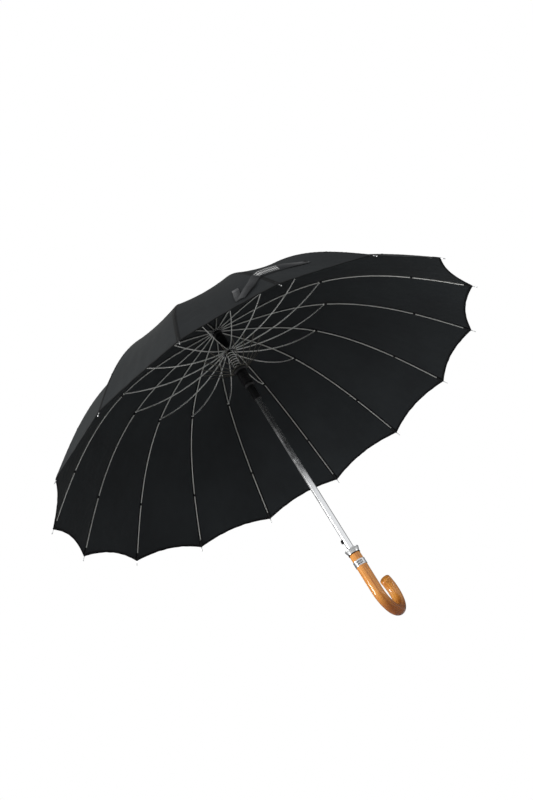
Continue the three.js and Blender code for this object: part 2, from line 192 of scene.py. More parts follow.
# Softboxes: (name, direction towards it, distance, side in metres, watts).
softboxes = [
    ("key_softbox", -across * 0.95 + upward * 0.55 - back * 0.05, 2.6, 1.6, 3.0),
    ("side_softbox", across * 0.95 + upward * 0.35 + back * 0.35, 2.4, 0.9, 12.0),
    ("left_softbox", horizontal_back * 0.42 - level * 0.9 - Vector((0, 0, 0.10)), 2.4, 0.9, 50.0),
    ("top_softbox", Vector((0.2, 0.3, 1.0)), 2.8, 2.4, 4.0),
]
for name, direction, distance, side, watts in softboxes:
    lamp = bpy.data.lights.new(name, "AREA")
    lamp.shape = "SQUARE"
    lamp.size = side
    lamp.energy = watts
    softbox = bpy.data.objects.new(name, lamp)
    bpy.context.collection.objects.link(softbox)
    softbox.location = rim_middle + direction.normalized() * distance
    softbox.rotation_euler = (-direction).to_track_quat("-Z", "Y").to_euler()


# ---- Shaft -------------------------------------------------------------------------------------
# A 14 mm welded steel tube, polished and chrome plated. Its foot is glued in the handle, its head
# is pinned in the ferrule, and a window near the handle lets the release button through.

# An edge sharper than this stays an edge in the shading.
crease_angle = math.radians(38)


def skin(name, rings, closed=False):
    """A mesh whose surface runs from ring to ring of points. closed joins the last ring to the
    first, and otherwise both ends are capped. Its UV map is in metres, round and along."""
    count = len(rings[0])
    mesh = bpy.data.meshes.new(name)
    faces, marks = [], []
    widest = max(rings, key=lambda ring: sum((b - a).length for a, b in zip(ring, ring[1:])))
    turn = [0.0]
    for i in range(count):
        turn.append(turn[-1] + (widest[(i + 1) % count] - widest[i]).length)
    run = [0.0]
    for before, after in zip(rings, rings[1:] + rings[:1]):
        run.append(run[-1] + max((after[i] - before[i]).length for i in (0, count // 2)))
    total = len(rings)
    for j in range(total if closed else total - 1):
        up = (j + 1) % total
        for i in range(count):
            beside = (i + 1) % count
            faces.append((j * count + i, j * count + beside, up * count + beside, up * count + i))
            marks += [(turn[i], run[j]), (turn[i + 1], run[j]),
                      (turn[i + 1], run[j + 1]), (turn[i], run[j + 1])]
    if not closed:
        for j in (0, total - 1):
            faces.append(tuple(range(j * count, (j + 1) * count)))
            marks += [(turn[i], run[j]) for i in range(count)]
    mesh.from_pydata([tuple(point) for ring in rings for point in ring], [], faces)
    layer = mesh.uv_layers.new(name="Surface")
    layer.data.foreach_set("uv", np.array(marks, np.float32).ravel())
    shell = bmesh.new()
    shell.from_mesh(mesh)
    bmesh.ops.recalc_face_normals(shell, faces=shell.faces)
    shell.to_mesh(mesh)
    shell.free()
    mesh.shade_smooth()
    mesh.set_sharp_from_angle(angle=crease_angle)
    return mesh


def eased(outline, radius, steps=3):
    """A closed outline with each corner rounded to about radius."""
    soft = []
    before_all, after_all = outline[-1:] + outline[:-1], outline[1:] + outline[:1]
    for before, corner, after in zip(before_all, outline, after_all):
        corner = Vector(corner)
        to_before, to_after = Vector(before) - corner, Vector(after) - corner
        reach = min(radius, to_before.length * 0.45, to_after.length * 0.45)
        start = corner + to_before.normalized() * reach
        stop = corner + to_after.normalized() * reach
        for i in range(steps + 1):
            t = i / steps
            soft.append(start * (1 - t) ** 2 + corner * 2 * t * (1 - t) + stop * t ** 2)
    return soft


def turned(name, outline, radius=0.0003, sides=96):
    """A piece turned about the shaft's axis from a closed outline of (radius, height) points."""
    turns = [2 * math.pi * i / sides for i in range(sides)]
    rings = [[Vector((r * math.cos(angle), r * math.sin(angle), z)) for angle in turns]
             for r, z in eased(outline, radius)]
    return skin(name, rings, closed=True)


def placed(mesh, material, body, stands_for=()):
    """An object of that mesh and material, riding on a body."""
    piece = bpy.data.objects.new(mesh.name, mesh)
    bpy.context.collection.objects.link(piece)
    if material is not None:
        mesh.materials.clear()
        mesh.materials.append(material)
    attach(piece, body)
    if stands_for:
        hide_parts(*stands_for)
    return piece


# Chrome-plated steel tube: bright, with faint lines from drawing. The plate is a little soft from
# handling, so that lamps show in it as long streaks with blurred edges.
chrome, tree, shader = new_material("chrome_plated_steel", Metallic=1.0)
surface = add(tree, "ShaderNodeTexCoord")
drawn = add(tree, "ShaderNodeMapping", {
    "Vector": surface.outputs["Object"], "Scale": (900, 900, 6)})
lines = add(tree, "ShaderNodeTexNoise", {
    "Vector": drawn.outputs[0], "Scale": 1.0, "Detail": 2.0})
smears = add(tree, "ShaderNodeTexNoise", {
    "Vector": surface.outputs["Object"], "Scale": 60.0, "Detail": 4.0})
polish = add(tree, "ShaderNodeMapRange", {
    "Value": smears.outputs[0], 1: 0.35, 2: 0.75, 3: 0.19, 4: 0.29})
plate = add(tree, "ShaderNodeMix", {
    0: smears.outputs[0], 6: linear("DEDFE0"), 7: linear("F0F0EF")}, data_type="RGBA")
relief = add(tree, "ShaderNodeBump", {
    "Height": lines.outputs[0], "Strength": 0.06, "Distance": 0.0001})
tree.links.new(plate.outputs[2], shader.inputs["Base Color"])
tree.links.new(polish.outputs[0], shader.inputs["Roughness"])
tree.links.new(relief.outputs[0], shader.inputs["Normal"])

shaft_low, shaft_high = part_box("shaft_tube")
shaft_r = 0.007
shaft_bore = 0.0062
shaft_fit = 0.0073  # Bore of what goes over the shaft.
shaft = placed(turned("shaft_chrome_tube", [
    (shaft_bore, shaft_low.z), (shaft_r, shaft_low.z),
    (shaft_r, shaft_high.z), (shaft_bore, shaft_high.z),
]), chrome, "root", ["shaft_tube"])

button_azimuth = math.radians(112.5)
button_low, button_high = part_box("release_button")
button_z = (button_low.z + button_high.z) / 2
button_turn = Matrix.Rotation(button_azimuth, 4, "Z")
window_out, window_deep, window_wide, window_tall = 0.008, 0.01, 0.0066, 0.0086
window_place = button_turn @ Matrix.Translation((window_out, 0, button_z))
window = bmesh.new()
bmesh.ops.create_cube(window, size=1.0, matrix=window_place @ Matrix.Diagonal(
    (window_deep, window_wide, window_tall, 1)))
window_mesh = bpy.data.meshes.new("window_cutter")
window.to_mesh(window_mesh)
window.free()
cutter = bpy.data.objects.new("window_cutter", window_mesh)
bpy.context.collection.objects.link(cutter)
cut = shaft.modifiers.new("window", "BOOLEAN")
cut.object = cutter
cut.solver = "EXACT"
cut_shaft = shaft.evaluated_get(bpy.context.evaluated_depsgraph_get())
cut_mesh = bpy.data.meshes.new_from_object(cut_shaft)
shaft.modifiers.clear()
shaft.data = cut_mesh
bpy.data.objects.remove(cutter)


# ---- Release button ----------------------------------------------------------------------------
# A small black acetal catch with a rounded face, sprung out through the window in the shaft. It
# holds the lower runner when the umbrella is closed, and pressing it lets the spring go.

# Injection-moulded black plastic: deep black, satin, with the mould's fine spark texture.
plastic, tree, shader = new_material(
    "moulded_black_plastic", Roughness=0.36, IOR=1.5, Specular_IOR_Level=0.3)
surface = add(tree, "ShaderNodeTexCoord")
spark = add(tree, "ShaderNodeTexNoise", {
    "Vector": surface.outputs["Object"], "Scale": 2200.0, "Detail": 2.0})
rubbed = add(tree, "ShaderNodeTexNoise", {
    "Vector": surface.outputs["Object"], "Scale": 90.0, "Detail": 5.0})
tone = add(tree, "ShaderNodeMix", {
    0: rubbed.outputs[0], 6: linear("070708"), 7: linear("101011")}, data_type="RGBA")
gloss = add(tree, "ShaderNodeMapRange", {
    "Value": rubbed.outputs[0], 1: 0.3, 2: 0.7, 3: 0.28, 4: 0.46})
relief = add(tree, "ShaderNodeBump", {
    "Height": spark.outputs[0], "Strength": 0.12, "Distance": 0.0001})
tree.links.new(tone.outputs[2], shader.inputs["Base Color"])
tree.links.new(gloss.outputs[0], shader.inputs["Roughness"])
tree.links.new(relief.outputs[0], shader.inputs["Normal"])

button_width, button_height, button_half_deep = 0.006, 0.008, 0.004
button_root, button_face, button_slope = -0.0022, 0.0114, 0.0018
button_middle = Vector((0.0045, 0))
button_side = eased([
    (button_root, -button_height / 2), (button_face - button_slope, -button_height / 2),
    (button_face, -button_height / 4), (button_face, button_height / 4),
    (button_face - button_slope, button_height / 2), (button_root, button_height / 2)], 0.0008)
button_rings = []
# Steps across the button's width, with how far its outline is drawn in at each.
for step, inset in ((-0.5, 0.0006), (-0.46, 0.0001), (-0.4, 0.0),
                    (0.4, 0.0), (0.46, 0.0001), (0.5, 0.0006)):
    shrink = 1 - inset / button_half_deep
    ring = [button_middle + (point - button_middle) * shrink for point in button_side]
    button_rings.append([
        button_turn @ Vector((x, button_width * step, button_z + z)) for x, z in ring])
placed(skin("release_button_catch", button_rings), plastic, "release_button",
       ["release_button"])


# ---- Crook handle ------------------------------------------------------------------------------
# Steam-bent ash, turned to 24 mm, stained orange-brown and thickly varnished. It is bored and
# glued on the foot of the shaft, and the hook's end is rounded over.

wood_r = 0.012
wood_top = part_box("crook_handle")[1].z
bend_r = 0.0464
bend_start = -0.0267
bend_sweep = math.radians(218)
end_round = 0.004
edge_round = 0.0009
socket_deep = 0.0425
grip_swell = 0.012
wood_sides, bend_steps, end_steps = 64, 110, 8


def crook_place(along):
    """The centreline's point and direction, along metres down from the wood's top."""
    straight = wood_top - bend_start
    if along <= straight:
        return Vector((0, 0, wood_top - along)), Vector((0, 0, -1))
    angle = (along - straight) / bend_r
    middle = Vector((bend_r * (1 - math.cos(angle)), 0, bend_start - bend_r * math.sin(angle)))
    return middle, Vector((math.sin(angle), 0, -math.cos(angle)))


def crook_ring(along, radius, past=0.0):
    """A ring round the centreline. The hand's grip swells it by a few tenths of a millimetre."""
    middle, direction = crook_place(along)
    side = Vector((-direction.z, 0, direction.x))
    swell = 1 + grip_swell * math.sin(along * 31) * (radius > wood_r * 0.9)
    ring = []
    for i in range(wood_sides):
        angle = 2 * math.pi * i / wood_sides
        spread = Vector((0, 1, 0)) * math.cos(angle) + side * math.sin(angle)
        ring.append(middle + direction * past + spread * radius * swell)
    return ring


crook_length = wood_top - bend_start + bend_r * bend_sweep
wood_rings = [
    crook_ring(socket_deep, shaft_fit), crook_ring(0.0, shaft_fit), crook_ring(0.0, wood_r - 0.0008),
    crook_ring(0.0002, wood_r - 0.0002), crook_ring(edge_round, wood_r)]
wood_rings += [crook_ring(edge_round + (crook_length - edge_round) * i / bend_steps, wood_r)
               for i in range(1, bend_steps + 1)]
for i in range(1, end_steps + 1):
    angle = math.radians(90) * i / end_steps
    end_r = wood_r * (0.55 + 0.45 * math.cos(angle))
    wood_rings.append(crook_ring(crook_length, end_r, end_round * math.sin(angle)))
wood_rings.append(crook_ring(crook_length, wood_r * 0.3, end_round * 1.06))
wood_rings.append(crook_ring(crook_length, 0.0006, end_round * 1.08))

# Stained ash under gloss varnish: growth lines run along the handle, 1 to 3 mm apart, with short
# dark pores. Stain pools darker in the early wood. The bend is painted darker and redder towards
# its bottom, by height: painted shade on the underside of the hook.
ash, tree, shader = new_material(
    "stained_ash_varnished", IOR=1.45, Specular_IOR_Level=0.15,
    Coat_Weight=0.9, Coat_Roughness=0.06, Coat_IOR=1.5)
surface = add(tree, "ShaderNodeUVMap", uv_map="Surface")
grain_place = add(tree, "ShaderNodeMapping", {
    "Vector": surface.outputs[0], "Scale": (420, 11, 1)})
grain = add(tree, "ShaderNodeTexNoise", {
    "Vector": grain_place.outputs[0], "Scale": 1.0, "Detail": 5.0, "Roughness": 0.62,
    "Distortion": 0.7})
cloud_place = add(tree, "ShaderNodeMapping", {
    "Vector": surface.outputs[0], "Scale": (55, 14, 1)})
cloud = add(tree, "ShaderNodeTexNoise", {
    "Vector": cloud_place.outputs[0], "Scale": 1.0, "Detail": 3.0})
pore_place = add(tree, "ShaderNodeMapping", {
    "Vector": surface.outputs[0], "Scale": (2600, 150, 1)})
pores = add(tree, "ShaderNodeTexNoise", {
    "Vector": pore_place.outputs[0], "Scale": 1.0, "Detail": 1.0})
early = add(tree, "ShaderNodeMapRange", {
    "Value": grain.outputs[0], 1: 0.34, 2: 0.68, 3: 0.0, 4: 1.0})
stain = add(tree, "ShaderNodeMix", {
    0: early.outputs[0], 6: linear("BA661F"), 7: linear("FFBA5C")}, data_type="RGBA")
pooled = add(tree, "ShaderNodeMapRange", {
    "Value": cloud.outputs[0], 1: 0.35, 2: 0.7, 3: 0.0, 4: 0.55})
warm = add(tree, "ShaderNodeMix", {
    0: pooled.outputs[0], 6: stain.outputs[2], 7: linear("F09A40")}, data_type="RGBA")
object_place = add(tree, "ShaderNodeTexCoord")
height = add(tree, "ShaderNodeSeparateXYZ", {0: object_place.outputs["Object"]})
# Painted shade: the wood turns darker and redder towards the bottom of the bend, by height alone.
painted_bend_shade = add(tree, "ShaderNodeMapRange", {
    "Value": height.outputs["Z"], 1: bend_start - 0.006, 2: bend_start - bend_r, 3: 0.0, 4: 0.72},
    interpolation_type="SMOOTHSTEP")
bent = add(tree, "ShaderNodeMix", {
    0: painted_bend_shade.outputs[0], 6: warm.outputs[2], 7: linear("8E4620")}, data_type="RGBA")
pitted = add(tree, "ShaderNodeMapRange", {
    "Value": pores.outputs[0], 1: 0.62, 2: 0.72, 3: 0.0, 4: 0.4})
dark = add(tree, "ShaderNodeMix", {
    0: pitted.outputs[0], 6: bent.outputs[2], 7: linear("7A3C14")}, data_type="RGBA")
rough = add(tree, "ShaderNodeMapRange", {
    "Value": grain.outputs[0], 1: 0.3, 2: 0.7, 3: 0.42, 4: 0.3})
relief = add(tree, "ShaderNodeBump", {
    "Height": grain.outputs[0], "Strength": 0.1, "Distance": 0.0002})
tree.links.new(dark.outputs[2], shader.inputs["Base Color"])
tree.links.new(rough.outputs[0], shader.inputs["Roughness"])
tree.links.new(relief.outputs[0], shader.inputs["Normal"])
placed(skin("crook_ash_handle", wood_rings), ash, "root", ["crook_handle"])


# ---- Tip cup -----------------------------------------------------------------------------------
# A flared cup of spun brass, chrome plated, on the top of the handle. It gathers the rib tips when
# the umbrella is closed. A thin black fibre washer sits between the cup and the wood; it is drawn
# as a black collar round the cup's foot, so that it also paints the shade in the joint.

cup_low, cup_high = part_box("tip_cup")
cup_rim = cup_high.x
cup_foot = 0.0126
cup_wall = 0.0009
cup_bore = shaft_fit
cup_tall = cup_high.z - cup_low.z
washer_r = cup_foot + 0.0007
washer_low, washer_high = wood_top - 0.0001, cup_low.z + 0.0014
placed(turned("tip_cup_spun", [
    (cup_bore, cup_low.z + 0.0002), (cup_foot - 0.0004, cup_low.z + 0.0002),
    (cup_foot, cup_low.z + 0.002), (cup_foot + 0.0008, cup_low.z + cup_tall * 0.4),
    (cup_rim - 0.0012, cup_low.z + cup_tall * 0.66), (cup_rim, cup_high.z - 0.0012),
    (cup_rim, cup_high.z), (cup_rim - cup_wall, cup_high.z),
    (cup_rim - 0.0016 - cup_wall, cup_low.z + cup_tall * 0.68),
    (cup_foot - cup_wall, cup_low.z + 0.0022), (cup_bore, cup_low.z + 0.0018),
], 0.0006), chrome, "root", ["tip_cup"])
# The washer's black collar over the cup's foot is partly painted shade in the joint.
placed(turned("cup_washer_shade_collar", [
    (cup_bore, washer_low), (washer_r, washer_low), (washer_r, washer_high), (cup_bore, washer_high),
], 0.0001), plastic, "root")


# ---- Handle band -------------------------------------------------------------------------------
# A thin chromed ring pressed on the wood, with a rolled bead at each edge. Where a maker would put a
# badge it has a shallow black-enamelled field with plain upright bars.

band_low, band_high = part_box("handle_band")
band_in = 0.0123
band_out = band_high.x
bead = 0.0002
placed(turned("handle_band_ring", [
    (band_in, band_low.z), (band_out + bead, band_low.z), (band_out + bead, band_low.z + 0.0012),
    (band_out, band_low.z + 0.0016), (band_out, band_high.z - 0.0016),
    (band_out + bead, band_high.z - 0.0012), (band_out + bead, band_high.z), (band_in, band_high.z),
], 0.0003), chrome, "root", ["handle_band"])


# The badge faces away from the hook.
badge_azimuth = math.radians(198)
badge_half = math.radians(34)
badge_steps = 24
enamel_in, enamel_out = band_out - 0.0002, band_out + 0.00025
enamel_low, enamel_high = band_low.z + 0.0028, band_high.z - 0.0028
enamel_outline = [(enamel_in, enamel_low), (enamel_out, enamel_low),
                  (enamel_out, enamel_high), (enamel_in, enamel_high)]
enamel_sections = []
for i in range(badge_steps + 1):
    angle = badge_azimuth + badge_half * (2 * i / badge_steps - 1)
    enamel_sections.append([
        Vector((r * math.cos(angle), r * math.sin(angle), z)) for r, z in enamel_outline])
placed(skin("band_enamel_field", enamel_sections), plastic, "root")


def new_tree(name, sizes, counts=()):
    """A Geometry Nodes tree with an input for each size and count and for its finish."""
    tree = bpy.data.node_groups.new(name, "GeometryNodeTree")
    sockets = [("Geometry", "INPUT", "NodeSocketGeometry")]
    sockets += [(size, "INPUT", "NodeSocketFloat") for size in sizes]
    sockets += [(count, "INPUT", "NodeSocketInt") for count in counts]
    sockets += [("Finish", "INPUT", "NodeSocketMaterial"),
                ("Geometry", "OUTPUT", "NodeSocketGeometry")]
    for socket, way, kind in sockets:
        tree.interface.new_socket(socket, in_out=way, socket_type=kind)
    return tree


def toothed_ring():
    """Geometry Nodes: Count blocks of Depth, Width and Height at Radius and Level, spaced over Span
    of a ring from Start. The input geometry is left out."""
    tree = new_tree("toothed_ring", ["Radius", "Level", "Depth", "Width", "Height", "Start", "Span"],
                    ["Count"])
    sizes = add(tree, "NodeGroupInput").outputs
    block = add(tree, "ShaderNodeCombineXYZ", {
        "X": sizes["Depth"], "Y": sizes["Width"], "Z": sizes["Height"]})
    tooth = add(tree, "GeometryNodeMeshCube", {"Size": block.outputs[0]})
    ring = add(tree, "GeometryNodePoints", {"Count": sizes["Count"]})
    number = add(tree, "GeometryNodeInputIndex")
    share = add(tree, "ShaderNodeMath", {
        0: number.outputs[0], 1: sizes["Count"]}, operation="DIVIDE")
    turn = add(tree, "ShaderNodeMath", {
        0: share.outputs[0], 1: sizes["Span"], 2: sizes["Start"]}, operation="MULTIPLY_ADD")
    cosine = add(tree, "ShaderNodeMath", {0: turn.outputs[0]}, operation="COSINE")
    sine = add(tree, "ShaderNodeMath", {0: turn.outputs[0]}, operation="SINE")
    out_x = add(tree, "ShaderNodeMath", {
        0: cosine.outputs[0], 1: sizes["Radius"]}, operation="MULTIPLY")
    out_y = add(tree, "ShaderNodeMath", {
        0: sine.outputs[0], 1: sizes["Radius"]}, operation="MULTIPLY")
    spot = add(tree, "ShaderNodeCombineXYZ", {
        "X": out_x.outputs[0], "Y": out_y.outputs[0], "Z": sizes["Level"]})
    spread = add(tree, "GeometryNodeSetPosition", {
        "Geometry": ring.outputs[0], "Position": spot.outputs[0]})
    facing = add(tree, "ShaderNodeCombineXYZ", {"Z": turn.outputs[0]})
    teeth = add(tree, "GeometryNodeInstanceOnPoints", {
        "Points": spread.outputs[0], "Instance": tooth.outputs["Mesh"],
        "Rotation": facing.outputs[0]})
    real = add(tree, "GeometryNodeRealizeInstances", {"Geometry": teeth.outputs[0]})
    coloured = add(tree, "GeometryNodeSetMaterial", {
        "Geometry": real.outputs[0], "Material": sizes["Finish"]})
    add(tree, "NodeGroupOutput", {"Geometry": coloured.outputs[0]})
    return tree


def grown(name, points, tree, **sizes):
    """Runs a Geometry Nodes tree on a line of points and returns what it makes as a plain mesh."""
    line = bpy.data.meshes.new(name)
    edges = [(i, i + 1) for i in range(len(points) - 1)]
    line.from_pydata([tuple(point) for point in points], edges, [])
    host = bpy.data.objects.new(name, line)
    bpy.context.collection.objects.link(host)
    grow = host.modifiers.new("grow", "NODES")
    grow.node_group = tree
    for item in tree.interface.items_tree:
        if item.in_out == "INPUT" and item.name in sizes:
            grow[item.identifier] = sizes[item.name]
    done = host.evaluated_get(bpy.context.evaluated_depsgraph_get())
    made = bpy.data.meshes.new_from_object(done)
    bpy.data.objects.remove(host)
    bpy.data.meshes.remove(line)
    made.name = name
    return made


def eased_edges(mesh, width):
    """Rounds every edge of a mesh of blocks."""
    shell = bmesh.new()
    shell.from_mesh(mesh)
    bmesh.ops.bevel(shell, geom=shell.edges[:], offset=width, segments=2, affect="EDGES",
                    profile=0.5)
    shell.to_mesh(mesh)
    shell.free()
    mesh.shade_smooth()
    mesh.set_sharp_from_angle(angle=crease_angle)
    return mesh


teeth_tree = toothed_ring()
# A stub for the trees that follow no line.
stub = [(0, 0, 0), (0, 0, 0.01)]
badge_bars = 7
badge_bar_mesh = grown(
    "band_badge_bars", stub, teeth_tree, Radius=band_out + 0.0003,
    Level=(band_low.z + band_high.z) / 2, Depth=0.0005, Width=0.0010, Height=0.0050,
    Start=badge_azimuth - badge_half * 0.75, Span=badge_half * 1.5 * badge_bars / (badge_bars - 1),
    Count=badge_bars, Finish=chrome)
placed(eased_edges(badge_bar_mesh, 0.00015), None, "root")

# ---- Crown -------------------------------------------------------------------------------------
# The black nylon notch that the ribs hinge in: a moulded hub pinned to the shaft, with a tooth
# between each pair of ribs that keeps them apart.

rib_count = 16
rib_pitch = 2 * math.pi / rib_count
crown_z = joints["rib_fold_01"]["pos_m"][2]
crown_low, crown_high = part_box("crown")


crown_hub = crown_high.x
placed(turned("crown_hub", [
    (shaft_fit, crown_low.z - 0.004), (0.0088, crown_low.z - 0.004), (0.0094, crown_low.z),
    (crown_hub, crown_low.z + 0.001), (crown_hub, crown_high.z), (shaft_fit, crown_high.z),
], 0.0005), plastic, "root", ["crown"])
crown_teeth = grown(
    "crown_teeth", stub, teeth_tree, Radius=0.0128, Level=crown_z - 0.001, Depth=0.0042,
    Width=0.0019, Height=0.0052, Start=0.0, Span=2 * math.pi, Count=rib_count, Finish=plastic)
placed(eased_edges(crown_teeth, 0.0003), None, "root")


# ---- Ferrule -----------------------------------------------------------------------------------
# The black spike above the cover: a moulded cap that clamps the cloth, and a tapered nylon point
# over the shaft's head, ending in a plated steel stud.

ferrule_low, ferrule_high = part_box("ferrule")
cap_r = ferrule_high.x
seat = ferrule_low.z
axis_r = 0.0003  # The spike and the stud are closed round the axis at this radius.
socket_top = seat + 0.0282
stud_low = ferrule_high.z - 0.011
placed(turned("ferrule_cap", [
    (shaft_fit, seat), (cap_r - 0.003, seat), (cap_r, seat + 0.002), (cap_r - 0.0006, seat + 0.0032),
    (cap_r - 0.003, seat + 0.0055), (0.0106, seat + 0.008), (0.0094, seat + 0.0095),
    (shaft_fit, seat + 0.0095),
], 0.0007), plastic, "root", ["ferrule"])
placed(turned("ferrule_spike", [
    (axis_r, socket_top), (shaft_fit, socket_top), (shaft_fit, seat + 0.0092),
    (0.0090, seat + 0.0092), (0.0092, seat + 0.012), (0.0088, seat + 0.0135),
    (0.0086, seat + 0.030), (0.0051, stud_low), (axis_r, stud_low),
], 0.0006), plastic, "root")
placed(turned("ferrule_stud", [
    (axis_r, ferrule_high.z - 0.0112), (0.0047, ferrule_high.z - 0.0112),
    (0.0046, ferrule_high.z - 0.002), (0.0036, ferrule_high.z - 0.0002), (axis_r, ferrule_high.z),
], 0.0008), chrome, "root")


# ---- Upper runner ------------------------------------------------------------------------------
# A black nylon sleeve that slides on the shaft. Its notched foot carries the sixteen stretchers, and
# the opening spring sits in a pocket under it.

runner_low, runner_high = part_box("upper_runner")
runner_z = joints["stretcher_fold_01"]["pos_m"][2]
stretcher_pivot_r = math.hypot(*joints["stretcher_fold_01"]["pos_m"][:2])
neck_r = 0.0112
pocket_r, pocket_deep = 0.0098, 0.014
runner_hub = runner_high.x
placed(turned("upper_runner_sleeve", [
    (pocket_r, runner_low.z), (runner_hub, runner_low.z), (runner_hub, runner_z + 0.003),
    (neck_r + 0.0004, runner_z + 0.0055), (neck_r, runner_z + 0.012),
    (neck_r, runner_high.z - 0.009), (neck_r + 0.0007, runner_high.z - 0.008),
    (neck_r + 0.0007, runner_high.z - 0.005), (neck_r, runner_high.z - 0.004),
    (neck_r - 0.0006, runner_high.z), (shaft_fit, runner_high.z),
    (shaft_fit, runner_low.z + pocket_deep), (pocket_r, runner_low.z + pocket_deep),
], 0.0006), plastic, "upper_runner", ["upper_runner"])
stretcher_beside = 0.0024
stretcher_turn = rib_pitch / 2 + math.asin(stretcher_beside / stretcher_pivot_r)
runner_teeth = grown(
    "upper_runner_teeth", stub, teeth_tree, Radius=0.0146, Level=runner_z, Depth=0.0046,
    Width=0.0030, Height=0.0058, Start=stretcher_turn + rib_pitch / 2, Span=2 * math.pi,
    Count=rib_count, Finish=plastic)
placed(eased_edges(runner_teeth, 0.0004), None, "upper_runner")


# ---- Opening spring ----------------------------------------------------------------------------
# A compression spring of 2.2 mm bright wire between the two runners, with a flat turn at each end.
# It pushes the upper runner up to open the umbrella, and is squeezed when the umbrella is closed.

def coil_tree():
    """Geometry Nodes: a coil of Turns turns of round wire, Tall high, flat-ended."""
    tree = new_tree("coil_spring", ["Turns", "Coil Radius", "Wire Radius", "Tall", "Level"])
    sizes = add(tree, "NodeGroupInput").outputs
    coil = add(tree, "GeometryNodeCurveSpiral", {
        "Resolution": 40, "Rotations": sizes["Turns"], "Start Radius": sizes["Coil Radius"],
        "End Radius": sizes["Coil Radius"], "Height": sizes["Tall"]})
    foot = add(tree, "GeometryNodeCurvePrimitiveCircle", {
        "Resolution": 48, "Radius": sizes["Coil Radius"]}, mode="RADIUS")
    top = add(tree, "ShaderNodeCombineXYZ", {"Z": sizes["Tall"]})
    head = add(tree, "GeometryNodeTransform", {
        "Geometry": foot.outputs[0], "Translation": top.outputs[0]})
    both = add(tree, "GeometryNodeJoinGeometry")
    for part in (coil, foot, head):
        tree.links.new(part.outputs[0], both.inputs[0])
    wire = add(tree, "GeometryNodeCurvePrimitiveCircle", {
        "Resolution": 10, "Radius": sizes["Wire Radius"]}, mode="RADIUS")
    drawn = add(tree, "GeometryNodeCurveToMesh", {
        "Curve": both.outputs[0], "Profile Curve": wire.outputs[0], "Fill Caps": True})
    lift = add(tree, "ShaderNodeCombineXYZ", {"Z": sizes["Level"]})
    raised = add(tree, "GeometryNodeTransform", {
        "Geometry": drawn.outputs[0], "Translation": lift.outputs[0]})
    smooth = add(tree, "GeometryNodeSetShadeSmooth", {"Geometry": raised.outputs[0]})
    real = add(tree, "GeometryNodeRealizeInstances", {"Geometry": smooth.outputs[0]})
    coloured = add(tree, "GeometryNodeSetMaterial", {
        "Geometry": real.outputs[0], "Material": sizes["Finish"]})
    add(tree, "NodeGroupOutput", {"Geometry": coloured.outputs[0]})
    return tree


# Bright music wire, drawn through a die. A film of oil and dust keeps it pale from every side, so it
# isn't fully metallic.
spring_wire, tree, shader = new_material("bright_spring_wire", Metallic=0.5)
surface = add(tree, "ShaderNodeTexCoord")
film = add(tree, "ShaderNodeTexNoise", {
    "Vector": surface.outputs["Object"], "Scale": 350.0, "Detail": 3.0})
tone = add(tree, "ShaderNodeMix", {
    0: film.outputs[0], 6: linear("D2D2D0"), 7: linear("F0F0EC")}, data_type="RGBA")
gloss = add(tree, "ShaderNodeMapRange", {
    "Value": film.outputs[0], 1: 0.3, 2: 0.7, 3: 0.24, 4: 0.38})
tree.links.new(tone.outputs[2], shader.inputs["Base Color"])
tree.links.new(gloss.outputs[0], shader.inputs["Roughness"])

spring_low, spring_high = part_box("opening_spring")
wire_r, coil_r, spring_turns = 0.0011, 0.0086, 9.0
coil = grown(
    "opening_spring_coil", stub, coil_tree(), Turns=spring_turns,
    Tall=spring_high.z - spring_low.z - 2 * wire_r, Level=spring_low.z + wire_r,
    Finish=spring_wire, **{"Coil Radius": coil_r, "Wire Radius": wire_r})
spring = placed(coil, None, "upper_runner", ["opening_spring"])
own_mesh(spring)


# A thin knitted black sleeve round the shaft inside the spring is painted shade: it darkens the shaft
# between the coils.
shade_sock, tree, shader = new_material("black_sock_painted_shade", Roughness=0.9, Specular_IOR_Level=0.1)
surface = add(tree, "ShaderNodeUVMap", uv_map="Surface")
loops = add(tree, "ShaderNodeTexWave", {
    "Vector": surface.outputs[0], "Scale": 250.0, "Distortion": 2.0})
# Near-black knit: painted shade behind the spring's coils.
tone = add(tree, "ShaderNodeMix", {
    0: loops.outputs["Fac"], 6: linear("060606"), 7: linear("121213")}, data_type="RGBA")
relief = add(tree, "ShaderNodeBump", {
    "Height": loops.outputs["Fac"], "Strength": 0.5, "Distance": 0.0002})
tree.links.new(tone.outputs[2], shader.inputs["Base Color"])
tree.links.new(relief.outputs[0], shader.inputs["Normal"])
sock_foot, sock_head = spring_low.z, spring_high.z - 0.012
sock_in, sock_out = 0.0072, 0.00745
shade_sleeve = placed(turned("spring_shade_sock", [
    (sock_in, sock_foot), (sock_out, sock_foot), (sock_out, sock_head), (sock_in, sock_head),
], 0.0001), shade_sock, "upper_runner")
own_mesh(shade_sleeve)


# ---- Lower runner ------------------------------------------------------------------------------
# A longer black nylon sleeve with a grooved finger grip and a collar. The short arms hinge on a wire
# ring round the collar, and its foot catches on the release button.

lower_low, lower_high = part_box("lower_runner")
collar_r = lower_high.x
grip_r = 0.0125
tail_r = 0.0088
shoulder = lower_high.z - 0.050
grip_top = lower_high.z - 0.009
groove_pitch, groove_deep = 0.006, 0.0006
grip_outline = [(shaft_fit, lower_low.z), (tail_r, lower_low.z),
                (tail_r, shoulder - 0.003), (grip_r, shoulder)]
for step in range(5):
    groove_z = shoulder + groove_pitch + groove_pitch * step
    grip_outline += [(grip_r, groove_z), (grip_r - groove_deep, groove_z + 0.001),
                     (grip_r - groove_deep, groove_z + 0.002), (grip_r, groove_z + 0.003)]
grip_outline += [(grip_r, grip_top), (collar_r, lower_high.z - 0.006),
                 (collar_r, lower_high.z), (shaft_fit, lower_high.z)]
placed(turned("lower_runner_sleeve", grip_outline, 0.0006), plastic, "lower_runner",
       ["lower_runner"])
arm_wire_r = 0.0009
arm_ring_z = lower_high.z - 0.003
arm_ring_r = collar_r + 0.0003 + arm_wire_r


